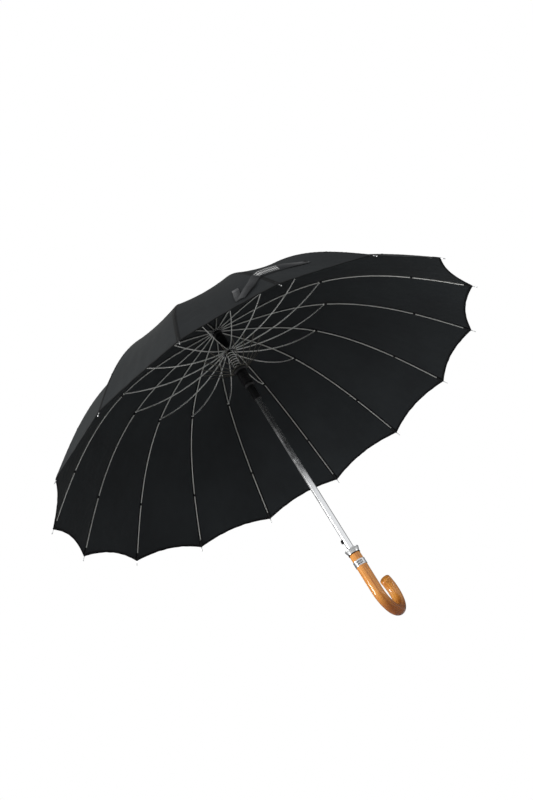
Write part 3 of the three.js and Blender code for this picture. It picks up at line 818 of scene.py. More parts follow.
# ---- Ribs and stretchers -----------------------------------------------------------------------
# Sixteen sprung ribs of 2.6 mm fluted steel, each riveted to its stretcher at a joint. The taut cover
# bows ribs and stretchers when the umbrella is open, and closed they spring back almost straight.

# Zinc-plated spring steel. The dull plating stays pale from every side, so it isn't fully metallic.
rib_steel, tree, shader = new_material("zinc_plated_rib_steel", Metallic=0.65)
surface = add(tree, "ShaderNodeTexCoord")
plating = add(tree, "ShaderNodeTexNoise", {
    "Vector": surface.outputs["Object"], "Scale": 45.0, "Detail": 6.0})
tone = add(tree, "ShaderNodeMix", {
    0: plating.outputs[0], 6: linear("A6A7A5"), 7: linear("CDCDC9")}, data_type="RGBA")
gloss = add(tree, "ShaderNodeMapRange", {
    "Value": plating.outputs[0], 1: 0.3, 2: 0.7, 3: 0.26, 4: 0.42})
scratch = add(tree, "ShaderNodeTexNoise", {
    "Vector": surface.outputs["Object"], "Scale": 1500.0, "Detail": 2.0})
relief = add(tree, "ShaderNodeBump", {
    "Height": scratch.outputs[0], "Strength": 0.08, "Distance": 0.0001})
tree.links.new(tone.outputs[2], shader.inputs["Base Color"])
tree.links.new(gloss.outputs[0], shader.inputs["Roughness"])
tree.links.new(relief.outputs[0], shader.inputs["Normal"])


# The arms' wire is the same steel left dark from tempering.
dark_wire, tree, shader = new_material("tempered_dark_wire", Metallic=1.0)
surface = add(tree, "ShaderNodeTexCoord")
scale_marks = add(tree, "ShaderNodeTexNoise", {
    "Vector": surface.outputs["Object"], "Scale": 120.0, "Detail": 4.0})
tone = add(tree, "ShaderNodeMix", {
    0: scale_marks.outputs[0], 6: linear("4C4B46"), 7: linear("6E6C64")}, data_type="RGBA")
gloss = add(tree, "ShaderNodeMapRange", {
    "Value": scale_marks.outputs[0], 1: 0.3, 2: 0.7, 3: 0.35, 4: 0.5})
tree.links.new(tone.outputs[2], shader.inputs["Base Color"])
tree.links.new(gloss.outputs[0], shader.inputs["Roughness"])


def in_rib_plane(position):
    """A joint's place as (distance from the shaft, height)."""
    return Vector((math.hypot(position[0], position[1]), position[2]))


crown_pivot = in_rib_plane(joints["rib_fold_01"]["pos_m"])
rib_joint = in_rib_plane(joints["rib_straighten_01"]["pos_m"])
runner_pivot = in_rib_plane(joints["stretcher_fold_01"]["pos_m"])
outer_rib = 0.357
outer_slope = math.radians(40.7)
rib_tip = rib_joint + outer_rib * Vector((math.cos(outer_slope), -math.sin(outer_slope)))
inner_rib = (rib_joint - crown_pivot).length
tightest_bend = 0.396
rib_size = 0.0026
stretcher_bow = 0.018
pin_length = 0.011
inner_steps, outer_steps = 32, 48


def on_bow(start, end, bow, t):
    """Point, direction and upward normal of a bar's centreline, at t of the way along its chord."""
    chord = end - start
    normal = Vector((-chord.y, chord.x)).normalized()
    point = start + chord * t + normal * bow(t)
    along = (chord * 0.002 + normal * (bow(t + 0.001) - bow(t - 0.001))).normalized()
    return point, along, Vector((-along.y, along.x))


def spring_bow(length, t):
    """A sprung rib's height above its chord: its bend falls evenly from the joint to its free end."""
    return length ** 2 / (6 * tightest_bend) * t * (1 - t * t)


def inner_place(t):
    """Place on an inner rib, from the crown's pivot to the joint."""
    return on_bow(crown_pivot, rib_joint, lambda u: spring_bow(inner_rib, u), t)


def outer_place(t):
    """Place on an outer rib, from the joint to its tip."""
    return on_bow(rib_joint, rib_tip, lambda u: spring_bow(outer_rib, 1 - u), t)


def stretcher_place(t):
    """Place on a stretcher, from the upper runner's pivot to the joint."""
    return on_bow(runner_pivot, rib_joint, lambda u: -stretcher_bow * 4 * u * (1 - u), t)


def bar(name, places, section, beside=0.0):
    """A bar swept along places in the rib's plane. section gives (sideways, up) points."""
    rings = []
    for point, _, up in places:
        rings.append([
            Vector((point.x + up.x * y, beside + x, point.y + up.y * y)) for x, y in section])
    return skin(name, rings)


def at_rib(mesh, number, name):
    """A copy of a mesh made in the plane y = 0, turned to a rib's place."""
    copy = mesh.copy()
    copy.name = name
    copy.transform(Matrix.Rotation((number - 0.5) * rib_pitch, 4, "Z"))
    return copy


def round_section(radius, sides=8):
    """Points round a circle."""
    turns = [2 * math.pi * i / sides for i in range(sides)]
    return [(radius * math.cos(angle), radius * math.sin(angle)) for angle in turns]


half = rib_size / 2
rib_half, groove = 0.0011, 0.0004
fluted = [(-rib_half, -rib_half + groove), (-rib_half + groove, -rib_half), (-groove, -rib_half),
          (0, -rib_half + groove), (groove, -rib_half), (rib_half - groove, -rib_half),
          (rib_half, -rib_half + groove), (rib_half, half - groove), (rib_half - groove, half),
          (-rib_half + groove, half), (-rib_half, half - groove)]
strip_w, strip_d = 0.0008, 0.0012
strip = [(-strip_w, -strip_d + 0.0004), (-strip_w + 0.0003, -strip_d), (strip_w - 0.0003, -strip_d),
         (strip_w, -strip_d + 0.0004), (strip_w, strip_d - 0.0004), (strip_w - 0.0003, strip_d),
         (-strip_w + 0.0003, strip_d), (-strip_w, strip_d - 0.0004)]
inner_stop = 1 - (half + 0.0003) / inner_rib
pin_share = pin_length / outer_rib
inner_bar = bar("rib_inner", [
    inner_place(inner_stop * i / inner_steps) for i in range(inner_steps + 1)], fluted)
outer_bar = bar("rib_outer", [
    outer_place((1 - pin_share) * i / outer_steps) for i in range(outer_steps + 1)], fluted)
stretcher_bar = bar("stretcher", [
    stretcher_place(i / inner_steps) for i in range(inner_steps + 1)], strip, stretcher_beside)


def joined(name, meshes):
    """One mesh of several."""
    shell = bmesh.new()
    for mesh in meshes:
        shell.from_mesh(mesh)
    whole = bpy.data.meshes.new(name)
    shell.to_mesh(whole)
    shell.free()
    whole.shade_smooth()
    whole.set_sharp_from_angle(angle=crease_angle)
    return whole


def cross_pin(place, radius, low, high, head):
    """A rivet through the bars, sideways, with a domed head at each end."""
    point = place[0]
    rings = []
    for y, r in ((low, radius * 0.4), (low + head * 0.5, radius * 0.9), (low + head, radius),
                 (high - head, radius), (high - head * 0.5, radius * 0.9), (high, radius * 0.4)):
        rings.append([Vector((point.x + x, y, point.y + z)) for x, z in round_section(r, 12)])
    return skin("rivet", rings)


# The rivets at the joint and at the arm, and the eye at the stretcher's foot.
joint_rivet = cross_pin(stretcher_place(1), 0.0015, -half - 0.0006,
                        stretcher_beside + strip_w + 0.0006, 0.0005)
stretcher_eye = cross_pin(stretcher_place(0), 0.0014, stretcher_beside - strip_w - 0.0004,
                          stretcher_beside + strip_w + 0.0004, 0.0003)
arm_reach = 0.063
arm_share = arm_reach / (rib_joint - runner_pivot).length
arm_rivet = cross_pin(stretcher_place(arm_share), 0.0013, stretcher_beside - strip_w - 0.0006,
                      stretcher_beside + strip_w + 0.0006, 0.0004)
stretcher_whole = joined("stretcher", [stretcher_bar, stretcher_eye, arm_rivet, joint_rivet])

# Rib tips: nickel-plated brass pins with a small ball end, crimped on the ribs.
tip_rings = []
tip_profile = [(-0.010, 0.0010), (-0.009, 0.0014), (-0.001, 0.0014), (0.0, 0.0009), (0.0080, 0.00075),
               (0.0086, 0.0010), (0.0094, 0.0012), (0.0101, 0.0012), (0.0108, 0.0009),
               (0.0111, 0.0003)]
pin_start, pin_along, pin_up = outer_place(1 - pin_share)
for out, radius in tip_profile:
    middle = pin_start + pin_along * out
    tip_rings.append([Vector((middle.x + pin_up.x * y, x, middle.y + pin_up.y * y))
                      for x, y in round_section(radius, 12)])
tip_mesh = skin("rib_tip", tip_rings)

# The pockets: folded corners of the cover that slip over the rib ends, sewn black cloth.
pocket_rings = []
for out, wide, deep in ((-0.019, 0.0019, 0.0016), (-0.018, 0.0023, 0.0019),
                        (-0.010, 0.0024, 0.0020), (-0.003, 0.0021, 0.0018),
                        (0.0, 0.0016, 0.0014), (0.0006, 0.0010, 0.0009)):
    point, _, up = outer_place(1 - pin_share + out / outer_rib)
    pocket_rings.append([Vector((point.x + up.x * y * deep, x * wide, point.y + up.y * y * deep))
                         for x, y in round_section(1.0, 14)])
pocket_mesh = skin("rib_pocket", pocket_rings)

# Thread ties: black waxed thread wound round the rib and through the seam, at the joint and past it.
tie_meshes = []
for share in (0.012, 0.59):
    rings = []
    for step, swell in ((-0.0030, 0.00155), (-0.0026, 0.0020), (-0.0013, 0.0022), (0, 0.0021),
                        (0.0013, 0.0022), (0.0026, 0.0020), (0.0030, 0.00155)):
        point, _, up = outer_place(share + step / outer_rib)
        rings.append([Vector((point.x + up.x * y, x, point.y + up.y * y))
                      for x, y in round_section(swell, 14)])
    tie_meshes.append(skin("tie", rings))
tie_mesh = joined("rib_ties", tie_meshes)

# Waxed black thread: twisted, so its edge is beaded, with the wax's dull shine.
thread, tree, shader = new_material(
    "waxed_black_thread", Roughness=0.6, IOR=1.5, Specular_IOR_Level=0.2)
surface = add(tree, "ShaderNodeTexCoord")
twist = add(tree, "ShaderNodeTexWave", {
    "Vector": surface.outputs["Object"], "Scale": 400.0, "Distortion": 1.0})
tone = add(tree, "ShaderNodeMix", {
    0: twist.outputs["Fac"], 6: linear("0A0A0B"), 7: linear("1B1B1D")}, data_type="RGBA")
relief = add(tree, "ShaderNodeBump", {
    "Height": twist.outputs["Fac"], "Strength": 0.4, "Distance": 0.0002})
tree.links.new(tone.outputs[2], shader.inputs["Base Color"])
tree.links.new(relief.outputs[0], shader.inputs["Normal"])

# The short arms: 1.8 mm round wire from the lower runner's ring to a rivet a quarter of the way up a
# stretcher.
arm_low = Vector((arm_ring_r, arm_ring_z))
arm_head_place = stretcher_place(arm_share)
arm_high = arm_head_place[0] - arm_head_place[2] * 0.0027
arm_bar = bar("opening_arm", [on_bow(arm_low, arm_high, lambda u: 0.0, i / 8) for i in range(9)],
              round_section(arm_wire_r, 10), stretcher_beside)


def wire_ring(name, ring_r, level, thick_r, sides=96, round_sides=10):
    """A ring of round wire."""
    rings = []
    for i in range(sides):
        turn = 2 * math.pi * i / sides
        out = Vector((math.cos(turn), math.sin(turn), 0))
        rings.append([out * (ring_r + x) + Vector((0, 0, level + z))
                      for x, z in round_section(thick_r, round_sides)])
    return skin(name, rings, closed=True)


placed(wire_ring("arm_wire_ring", arm_ring_r, arm_ring_z, arm_wire_r), dark_wire, "lower_runner")


def straightens(piece):
    """Gives a piece its own copy of its mesh."""
    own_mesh(piece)


for number in range(1, rib_count + 1):
    label = f"{number:02d}"
    inner_body, outer_body = f"rib_inner_{label}", f"rib_outer_{label}"
    inner = placed(at_rib(inner_bar, number, f"rib_inner_bar_{label}"), rib_steel, inner_body,
                   [inner_body])
    outer = placed(at_rib(outer_bar, number, f"rib_outer_bar_{label}"), rib_steel, outer_body,
                   [outer_body])
    stretcher = placed(at_rib(stretcher_whole, number, f"stretcher_bar_{label}"), spring_wire,
                       f"stretcher_{label}", [f"stretcher_{label}"])
    tip = placed(at_rib(tip_mesh, number, f"rib_tip_{label}"), chrome, outer_body)
    ties = placed(at_rib(tie_mesh, number, f"rib_ties_{label}"), thread, outer_body)
    placed(at_rib(pocket_mesh, number, f"rib_pocket_{label}"), thread, outer_body)
    straightens(inner)
    straightens(stretcher)
    for piece in (outer, ties, tip):
        straightens(piece)
    arm = placed(at_rib(arm_bar, number, f"opening_arm_{label}"), dark_wire, "lower_runner",
                 ["opening_arms"])
    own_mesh(arm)


# ---- Cover -------------------------------------------------------------------------------------
# Sixteen gores of black polyester pongee, felled together along the ribs into one domed sheet. The
# ribs hold it in tension, so each gore saddles between them and its hem curves in from the tips.

cover_lift = half + 0.0006
cloth_thick = 0.0004
apex = Vector((0.0082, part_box("canopy")[1].z - 0.0008))
hem_dip = 0.0145
panel_sag, sag_spread = 0.009, 0.16
crease_round = 0.008  # Shares of a panel over which the cloth turns over a rib.
ripple_high, pucker_high, pucker_count = 0.00032, 0.00022, 46
columns = 44
inner_rows, outer_rows = 34, 50


def cover_line():
    """The cloth's line over a rib, from the hole at the apex to the corner at the tip pin."""
    line = [apex]
    for i in range(inner_rows):
        point, _, up = inner_place(i / (inner_rows - 1))
        line.append(point + up * cover_lift)
    for i in range(1, outer_rows + 1):
        point, _, up = outer_place((1 - pin_share) * i / outer_rows)
        line.append(point + up * cover_lift)
    return np.array(line)


def cover_points(number, positions, rise):
    """The cloth's points beside rib number: positions run from -0.5 to 0.5 of a panel across it."""
    line = cover_line()
    rim = line[-1, 0]
    radius, height = line[:, :1], line[:, 1:]
    share = radius / rim
    v = np.array(positions)[None, :]
    around = number - 0.5 + v
    panel = np.floor(around - 0.5)
    u = around - 0.5 - panel
    across = np.sqrt((np.minimum(u, 1 - u)) ** 2 + crease_round ** 2)
    between = 4 * across * (1 - across)
    half_pitch = rib_pitch / 2
    chord = math.cos(half_pitch) / np.cos(half_pitch * (2 * across - 1))
    slack = 1 + sag_spread * np.sin(panel * 2.399)
    hem = hem_dip * between * share ** 8
    sag = panel_sag * slack * between * 2 * share ** 2 * (1 - share ** 4)
    # Tension folds: long low ripples that fan out from the corners, different in each gore.
    phase = panel * 1.7
    fan = np.sin(2 * math.pi * (u * 5.0 + share * 2.2) + phase) + 0.7 * np.sin(
        2 * math.pi * (u * 8.0 - share * 3.1) - 2 * phase)
    ripple = ripple_high * fan * between * share ** 3
    # Seam pucker: short waves in the few millimetres beside a rib.
    beside_rib = np.exp(-(np.minimum(u, 1 - u) / 0.05) ** 2)
    pucker = pucker_high * np.sin(2 * math.pi * share * pucker_count + phase) * beside_rib
    r = radius * chord - hem * math.cos(outer_slope) + rise * 0.5 * share
    z = height - sag + hem * math.sin(outer_slope) + rise + (ripple + pucker) * (share > 0.06)
    angle = around * rib_pitch
    return np.stack([r * np.cos(angle), r * np.sin(angle), z], axis=-1)


def gore(name, number, first, last, top=0.0, thick=cloth_thick):
    """The cloth beside one rib, from row first to row last, as a thin closed sheet. Its normals come
    from the whole cover, so that neighbours meet without a line."""
    step = 1 / columns
    positions = [-0.5 + step * (i - 1) for i in range(columns + 3)]
    outside = cover_points(number, positions, top)
    inside = cover_points(number, positions, top - thick)
    down, sideways = np.gradient(outside, axis=0), np.gradient(outside, axis=1)
    normals = np.cross(down, sideways)
    normals /= np.linalg.norm(normals, axis=2, keepdims=True)
    rows = slice(first, last + 1)
    outside, inside, normals = outside[rows, 1:-1], inside[rows, 1:-1], normals[rows, 1:-1]
    tall, wide = outside.shape[:2]
    steps = np.linalg.norm(np.diff(cover_line(), axis=0), axis=1)
    along = np.concatenate([[0], np.cumsum(steps)])[rows]
    spread = np.hypot(outside[..., 0], outside[..., 1])
    uv_x = spread * rib_pitch * np.array(positions[1:-1])[None, :]
    uv_y = np.repeat(along[:, None], wide, axis=1)
    points = np.concatenate([outside.reshape(-1, 3), inside.reshape(-1, 3)])
    base = tall * wide
    faces, facing = [], []
    flat = normals.reshape(-1, 3)

    def put(corners, how):
        faces.append(corners)
        facing.extend(how)

    for j in range(tall - 1):
        for i in range(wide - 1):
            a, b = j * wide + i, (j + 1) * wide + i
            c, d = b + 1, a + 1
            put((a, b, c, d), [flat[a], flat[b], flat[c], flat[d]])
            put((base + a, base + d, base + c, base + b), [-flat[a], -flat[d], -flat[c], -flat[b]])
    border = [(j * wide, (j + 1) * wide) for j in range(tall - 1)]
    border += [((tall - 1) * wide + i, (tall - 1) * wide + i + 1) for i in range(wide - 1)]
    border += [((j + 1) * wide + wide - 1, j * wide + wide - 1) for j in range(tall - 2, -1, -1)]
    border += [(i + 1, i) for i in range(wide - 2, -1, -1)]
    for a, b in border:
        edge = points[b] - points[a]
        out = np.cross(edge, flat[a])
        out /= max(np.linalg.norm(out), 1e-12)
        put((a, base + a, base + b, b), [out] * 4)
    mesh = bpy.data.meshes.new(name)
    mesh.from_pydata(points.tolist(), [], faces)
    layer = mesh.uv_layers.new(name="Cut")
    corners = np.array([v for face in faces for v in face]) % base
    marks = np.stack([uv_x.reshape(-1)[corners], uv_y.reshape(-1)[corners]], axis=1)
    layer.data.foreach_set("uv", marks.astype(np.float32).ravel())
    hem = mesh.attributes.new("from_hem", "FLOAT", "POINT")
    to_edge = np.repeat((cover_line_length - along)[:, None], wide, axis=1).reshape(-1)
    hem.data.foreach_set("value", np.concatenate([to_edge, to_edge]).astype(np.float32))
    mesh.shade_smooth()
    mesh.normals_split_custom_set([tuple(n) for n in facing])
    return mesh


cover_line_length = float(np.linalg.norm(np.diff(cover_line(), axis=0), axis=1).sum())

# Black polyester pongee: plain weave, matt, with a soft grey sheen at a glance. Its threads are
# 0.25 mm apart and are drawn at 1 mm so that they show. Seams are ironed ridges with a row of
# stitches, and the hem is a 6 mm turned edge. A band about 9 mm wide along each rib is painted
# near-black, partly for the darker seam and partly as painted shadow of the rib on both its sides;
# the hem's band is darkened the same way.
pongee, tree, shader = new_material(
    "black_polyester_pongee", Roughness=0.62, IOR=1.45, Specular_IOR_Level=0.10,
    Sheen_Weight=0.07, Sheen_Roughness=0.4, Sheen_Tint=linear("9A9A92"))
surface = add(tree, "ShaderNodeUVMap", uv_map="Cut")
axes = add(tree, "ShaderNodeSeparateXYZ", {0: surface.outputs[0]})
thread_pitch = 0.001
warp = add(tree, "ShaderNodeMath", {
    0: axes.outputs[0], 1: 2 * math.pi / thread_pitch}, operation="MULTIPLY")
weft = add(tree, "ShaderNodeMath", {
    0: axes.outputs[1], 1: 2 * math.pi / thread_pitch}, operation="MULTIPLY")
warp_wave = add(tree, "ShaderNodeMath", {0: warp.outputs[0]}, operation="SINE")
weft_wave = add(tree, "ShaderNodeMath", {0: weft.outputs[0]}, operation="SINE")
weave = add(tree, "ShaderNodeMath", {
    0: warp_wave.outputs[0], 1: weft_wave.outputs[0]}, operation="MULTIPLY")
beside_seam = add(tree, "ShaderNodeMath", {0: axes.outputs[0]}, operation="ABSOLUTE")
seam = add(tree, "ShaderNodeMapRange", {
    "Value": beside_seam.outputs[0], 1: 0.0052, 2: 0.0040, 3: 0.0, 4: 1.0},
    interpolation_type="SMOOTHSTEP")
hem_place = add(tree, "ShaderNodeAttribute", attribute_name="from_hem")
turned_edge = add(tree, "ShaderNodeMapRange", {
    "Value": hem_place.outputs["Fac"], 1: 0.0066, 2: 0.0058, 3: 0.0, 4: 1.0},
    interpolation_type="SMOOTHSTEP")
ridge = add(tree, "ShaderNodeMath", {
    0: seam.outputs[0], 1: turned_edge.outputs[0]}, operation="MAXIMUM")
object_place = add(tree, "ShaderNodeTexCoord")
creases = add(tree, "ShaderNodeTexNoise", {
    "Vector": object_place.outputs["Object"], "Scale": 26.0, "Detail": 4.0, "Distortion": 0.6})
mottle = add(tree, "ShaderNodeTexNoise", {
    "Vector": object_place.outputs["Object"], "Scale": 7.0, "Detail": 3.0})
shade = add(tree, "ShaderNodeMapRange", {
    "Value": mottle.outputs[0], 1: 0.3, 2: 0.7, 3: 0.0, 4: 1.0})
dye = add(tree, "ShaderNodeMix", {
    0: shade.outputs[0], 6: linear("202224"), 7: linear("26292B")}, data_type="RGBA")
# Painted shadow: the band beside each rib goes near-black, partly the seam and partly the rib's
# shadow; the hem's band too.
rib_shadow_and_ridge_dark = add(tree, "ShaderNodeMath", {0: ridge.outputs[0], 1: 0.8}, operation="MULTIPLY")
cloth_with_rib_shadow = add(tree, "ShaderNodeMix", {
    0: rib_shadow_and_ridge_dark.outputs[0], 6: dye.outputs[2], 7: linear("0A0A0B")}, data_type="RGBA")
tree.links.new(cloth_with_rib_shadow.outputs[2], shader.inputs["Base Color"])
fold_relief = add(tree, "ShaderNodeBump", {
    "Height": creases.outputs[0], "Strength": 0.35, "Distance": 0.002})
seam_relief = add(tree, "ShaderNodeBump", {
    "Height": ridge.outputs[0], "Normal": fold_relief.outputs[0],
    "Strength": 0.8, "Distance": 0.0005})
weave_relief = add(tree, "ShaderNodeBump", {
    "Height": weave.outputs[0], "Normal": seam_relief.outputs[0],
    "Strength": 0.12, "Distance": 0.0001})
tree.links.new(weave_relief.outputs[0], shader.inputs["Normal"])


def stitch_tree():
    """Geometry Nodes: oval stitches of Length and Width along a line, one to each Spacing."""
    tree = new_tree("stitch_row", ["Spacing", "Length", "Width"])
    sizes = add(tree, "NodeGroupInput").outputs
    line = add(tree, "GeometryNodeMeshToCurve", {"Mesh": sizes["Geometry"]})
    spots = add(tree, "GeometryNodeCurveToPoints", {
        "Curve": line.outputs[0], "Length": sizes["Spacing"]}, mode="LENGTH")
    oval = add(tree, "GeometryNodeMeshUVSphere", {"Segments": 6, "Rings": 4, "Radius": 0.5})
    size = add(tree, "ShaderNodeCombineXYZ", {
        "X": sizes["Width"], "Y": sizes["Width"], "Z": sizes["Length"]})
    row = add(tree, "GeometryNodeInstanceOnPoints", {
        "Points": spots.outputs["Points"], "Instance": oval.outputs["Mesh"],
        "Rotation": spots.outputs["Rotation"], "Scale": size.outputs[0]})
    smooth = add(tree, "GeometryNodeSetShadeSmooth", {"Geometry": row.outputs[0]})
    real = add(tree, "GeometryNodeRealizeInstances", {"Geometry": smooth.outputs[0]})
    coloured = add(tree, "GeometryNodeSetMaterial", {
        "Geometry": real.outputs[0], "Material": sizes["Finish"]})
    add(tree, "NodeGroupOutput", {"Geometry": coloured.outputs[0]})
    return tree


stitches = stitch_tree()
seam_beside = 0.0022
joint_row = inner_rows
last_row = inner_rows + outer_rows
# Shares of its width that a panel would keep when the umbrella is closed; nothing below uses them.
gather_inner, gather_outer = 0.38, 0.24
hem_under, hem_thick, hem_stitch_steps = -cloth_thick - 0.00005, 0.0005, 24
line = cover_line()
for number in range(1, rib_count + 1):
    label = f"{number:02d}"
    inner_body, outer_body = f"rib_inner_{label}", f"rib_outer_{label}"
    upper = placed(gore(f"cover_upper_gore_{label}", number, 0, joint_row), pongee, inner_body,
                   ["canopy"])
    lower = placed(gore(f"cover_lower_gore_{label}", number, joint_row, last_row), pongee,
                   outer_body, ["canopy"])
    hem_mesh = gore(f"cover_hem_{label}", number, last_row - 1, last_row, hem_under, hem_thick)
    hem = placed(hem_mesh, pongee, outer_body)
    hem_positions = [-0.5 + i / hem_stitch_steps for i in range(hem_stitch_steps + 1)]
    under_hem = cover_points(number, hem_positions, -cloth_thick - 0.0007)
    hem_points = 0.3 * under_hem[-1] + 0.7 * under_hem[-2]
    hem_row = grown(f"hem_stitches_{label}", hem_points.tolist(), stitches, Spacing=0.003,
                    Length=0.0022, Width=0.0005, Finish=thread)
    stitch_row = placed(hem_row, None, outer_body)
    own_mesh(upper)
    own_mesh(lower)
    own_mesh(stitch_row)
    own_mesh(hem)
    for part, rows, body, keep in (
            ("upper", range(3, joint_row + 1), inner_body, gather_inner),
            ("lower", range(joint_row, last_row + 1), outer_body, gather_outer)):
        seam_line = [cover_points(number, [seam_beside / (line[row, 0] * rib_pitch)], 0.0001)[row, 0]
                     for row in rows]
        seam_mesh = grown(f"seam_stitches_{part}_{label}", seam_line, stitches, Spacing=0.004,
                          Length=0.003, Width=0.0006, Finish=thread)
        seam_row = placed(seam_mesh, None, body)
        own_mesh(seam_row)


# ---- Closing strap -----------------------------------------------------------------------------
# A doubled band of the cover's cloth, 17 mm wide, sewn on one gore near the hem. It lies loose, with
# its free end folded under, a woven silver label without lettering, and a snap stud at the other end.

strap_rib = 10
strap_body = f"rib_outer_{strap_rib}"
panel_wide, panel_long = 0.18, 0.35


def on_cover(beside, share):
    """The cover's outer surface and its normal, beside panels from the strap's rib and share of the
    way from the rib's joint to its tip."""
    spots = cover_points(strap_rib, [beside - 0.01, beside, beside + 0.01], 0.0)
    row = joint_row + share * outer_rows
    low = min(int(row), last_row - 1)
    at = spots[low] * (1 - (row - low)) + spots[low + 1] * (row - low)
    normal = np.cross(spots[low + 1, 1] - spots[low, 1], at[2] - at[0])
    return Vector(at[1]), Vector(normal).normalized()


def ribbon(name, knots, wide, thick):
    """A flat band along knots of (beside, share, lift off the cover, roll towards the hem in
    degrees), smoothly joined."""
    given = np.array(knots)
    aside, down = np.diff(given[:, 0]) * panel_wide, np.diff(given[:, 1]) * panel_long
    reach = np.concatenate([[0], np.cumsum(np.hypot(aside, down))])
    fine = np.linspace(0, reach[-1], 90)
    path = np.stack([np.interp(fine, reach, given[:, i]) for i in range(4)], axis=1)
    kernel = np.ones(9) / 9
    padded = np.concatenate([np.repeat(path[:1], 4, 0), path, np.repeat(path[-1:], 4, 0)])
    path = np.stack([np.convolve(padded[:, i], kernel, "valid") for i in range(4)], axis=1)
    middles, normals = [], []
    for beside, share, lift, roll in path:
        point, normal = on_cover(beside, share)
        ahead, behind = on_cover(beside, share + 0.02)[0], on_cover(beside, share - 0.02)[0]
        hemward = (ahead - behind).normalized()
        lean = math.radians(roll)
        facing_out = normal * math.cos(lean) + hemward * math.sin(lean)
        edge_lift = normal * strap_wide / 2 * math.sin(lean)
        middles.append(point + edge_lift + facing_out * (lift + thick / 2))
        normals.append(facing_out)
    rings = []
    for i, (middle, normal) in enumerate(zip(middles, normals)):
        along = (middles[min(i + 1, len(middles) - 1)] - middles[max(i - 1, 0)]).normalized()
        side = along.cross(normal).normalized()
        up = side.cross(along).normalized()
        half_w, half_t = wide / 2, thick / 2
        rings.append([middle + side * x + up * y for x, y in (
            (-half_w, -half_t * 0.4), (-half_w + half_t, -half_t),
            (half_w - half_t, -half_t), (half_w, -half_t * 0.4),
            (half_w, half_t * 0.4), (half_w - half_t, half_t),
            (-half_w + half_t, half_t), (-half_w, half_t * 0.4))])
    return skin(name, rings), sum((b - a).length for a, b in zip(middles, middles[1:]))


strap_wide, strap_thick = 0.017, 0.0011
fold_wide, label_wide, label_thick = strap_wide * 0.8, strap_wide * 0.66, 0.0004
strap_knots = [
    (0.66, 0.70, 0.0003, 0), (0.60, 0.695, 0.0004, 4), (0.50, 0.68, 0.0015, 10),
    (0.42, 0.67, 0.0010, 20), (0.30, 0.67, 0.0008, 32), (0.12, 0.70, 0.0008, 36),
    (-0.05, 0.75, 0.0010, 34), (-0.16, 0.83, 0.0030, 22), (-0.25, 0.88, 0.0030, 10),
    (-0.33, 0.93, 0.0010, 0)]
fold_knots = [
    (-0.345, 0.925, 0.0004, 0), (-0.33, 0.86, 0.0030, 0), (-0.30, 0.78, 0.0045, 0),
    (-0.28, 0.70, 0.0012, 0)]
label_lift = strap_thick + 0.0010
label_knots = [
    (0.27, 0.675, label_lift, 33), (0.12, 0.70, label_lift, 36), (-0.04, 0.747, label_lift, 34)]

# The same pongee, doubled: a little shinier than the cover, and rumpled from being rolled up.
strap_cloth, tree, shader = new_material(
    "doubled_black_pongee", Roughness=0.62, IOR=1.45, Specular_IOR_Level=0.14,
    Sheen_Weight=0.2, Sheen_Roughness=0.45)
surface = add(tree, "ShaderNodeUVMap", uv_map="Surface")
axes = add(tree, "ShaderNodeSeparateXYZ", {0: surface.outputs[0]})
threads = add(tree, "ShaderNodeMath", {
    0: axes.outputs[1], 1: 2 * math.pi / thread_pitch}, operation="MULTIPLY")
thread_wave = add(tree, "ShaderNodeMath", {0: threads.outputs[0]}, operation="SINE")
rumple = add(tree, "ShaderNodeTexNoise", {
    "Vector": surface.outputs[0], "Scale": 90.0, "Detail": 3.0})
dye = add(tree, "ShaderNodeMix", {
    0: rumple.outputs[0], 6: linear("18191A"), 7: linear("242628")}, data_type="RGBA")
relief = add(tree, "ShaderNodeBump", {
    "Height": rumple.outputs[0], "Strength": 0.4, "Distance": 0.001})
weave_relief = add(tree, "ShaderNodeBump", {
    "Height": thread_wave.outputs[0], "Normal": relief.outputs[0],
    "Strength": 0.15, "Distance": 0.0001})
tree.links.new(dye.outputs[2], shader.inputs["Base Color"])
tree.links.new(weave_relief.outputs[0], shader.inputs["Normal"])

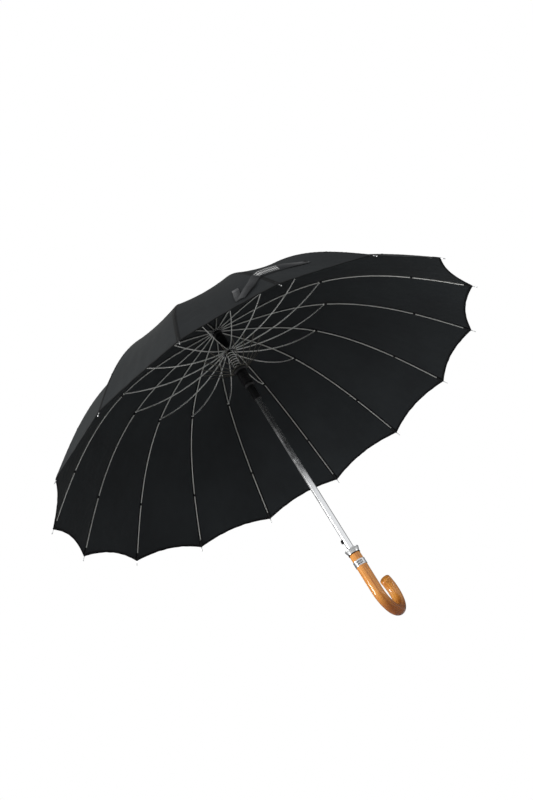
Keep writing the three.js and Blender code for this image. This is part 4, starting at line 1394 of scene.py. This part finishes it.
# Woven label: silver lurex on black, in a plain lattice of 4 mm. Its 0.4 mm threads are drawn as
# glints of 1 mm so that they show.
lurex, tree, shader = new_material("woven_silver_label", Metallic=0.3, Roughness=0.4)
surface = add(tree, "ShaderNodeUVMap", uv_map="Surface")
turned_map = add(tree, "ShaderNodeMapping", {
    "Vector": surface.outputs[0], "Rotation": (0, 0, math.radians(45)), "Scale": (240, 240, 1)})
lattice = add(tree, "ShaderNodeTexChecker", {"Vector": turned_map.outputs[0], "Scale": 1.0})
glint = add(tree, "ShaderNodeTexNoise", {
    "Vector": surface.outputs[0], "Scale": 900.0, "Detail": 2.0})
light = add(tree, "ShaderNodeMix", {
    0: glint.outputs[0], 6: linear("8D8D8B"), 7: linear("E2E2E0")}, data_type="RGBA")
woven = add(tree, "ShaderNodeMix", {
    0: lattice.outputs["Fac"], 6: linear("3A3A3B"), 7: light.outputs[2]}, data_type="RGBA")
relief = add(tree, "ShaderNodeBump", {
    "Height": lattice.outputs["Fac"], "Strength": 0.3, "Distance": 0.0003})
tree.links.new(woven.outputs[2], shader.inputs["Base Color"])
tree.links.new(relief.outputs[0], shader.inputs["Normal"])

strap_mesh, strap_long = ribbon("strap_band", strap_knots, strap_wide, strap_thick)
fold_mesh, fold_long = ribbon("strap_fold", fold_knots, fold_wide, strap_thick)
label_mesh, _ = ribbon("strap_label", label_knots, label_wide, label_thick)
strap = placed(strap_mesh, strap_cloth, strap_body)
fold = placed(fold_mesh, strap_cloth, strap_body)
label_piece = placed(label_mesh, lurex, strap_body)

stud_point, stud_normal = on_cover(0.62, 0.675)
stud_side = stud_normal.orthogonal().normalized()
stud_other = stud_normal.cross(stud_side)
stud_rings = []
for rise, radius in ((0.0010, 0.0058), (0.0022, 0.0060), (0.0027, 0.0054), (0.0029, 0.0030),
                     (0.0035, 0.0026), (0.0042, 0.0022), (0.0045, 0.0010)):
    middle = stud_point + stud_normal * rise
    stud_rings.append([middle + (stud_side * math.cos(a) + stud_other * math.sin(a)) * radius
                       for a in (2 * math.pi * i / 32 for i in range(32))])
stud = placed(skin("strap_snap_stud", stud_rings), plastic, strap_body)

for piece in (strap, fold, label_piece, stud):
    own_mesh(piece)
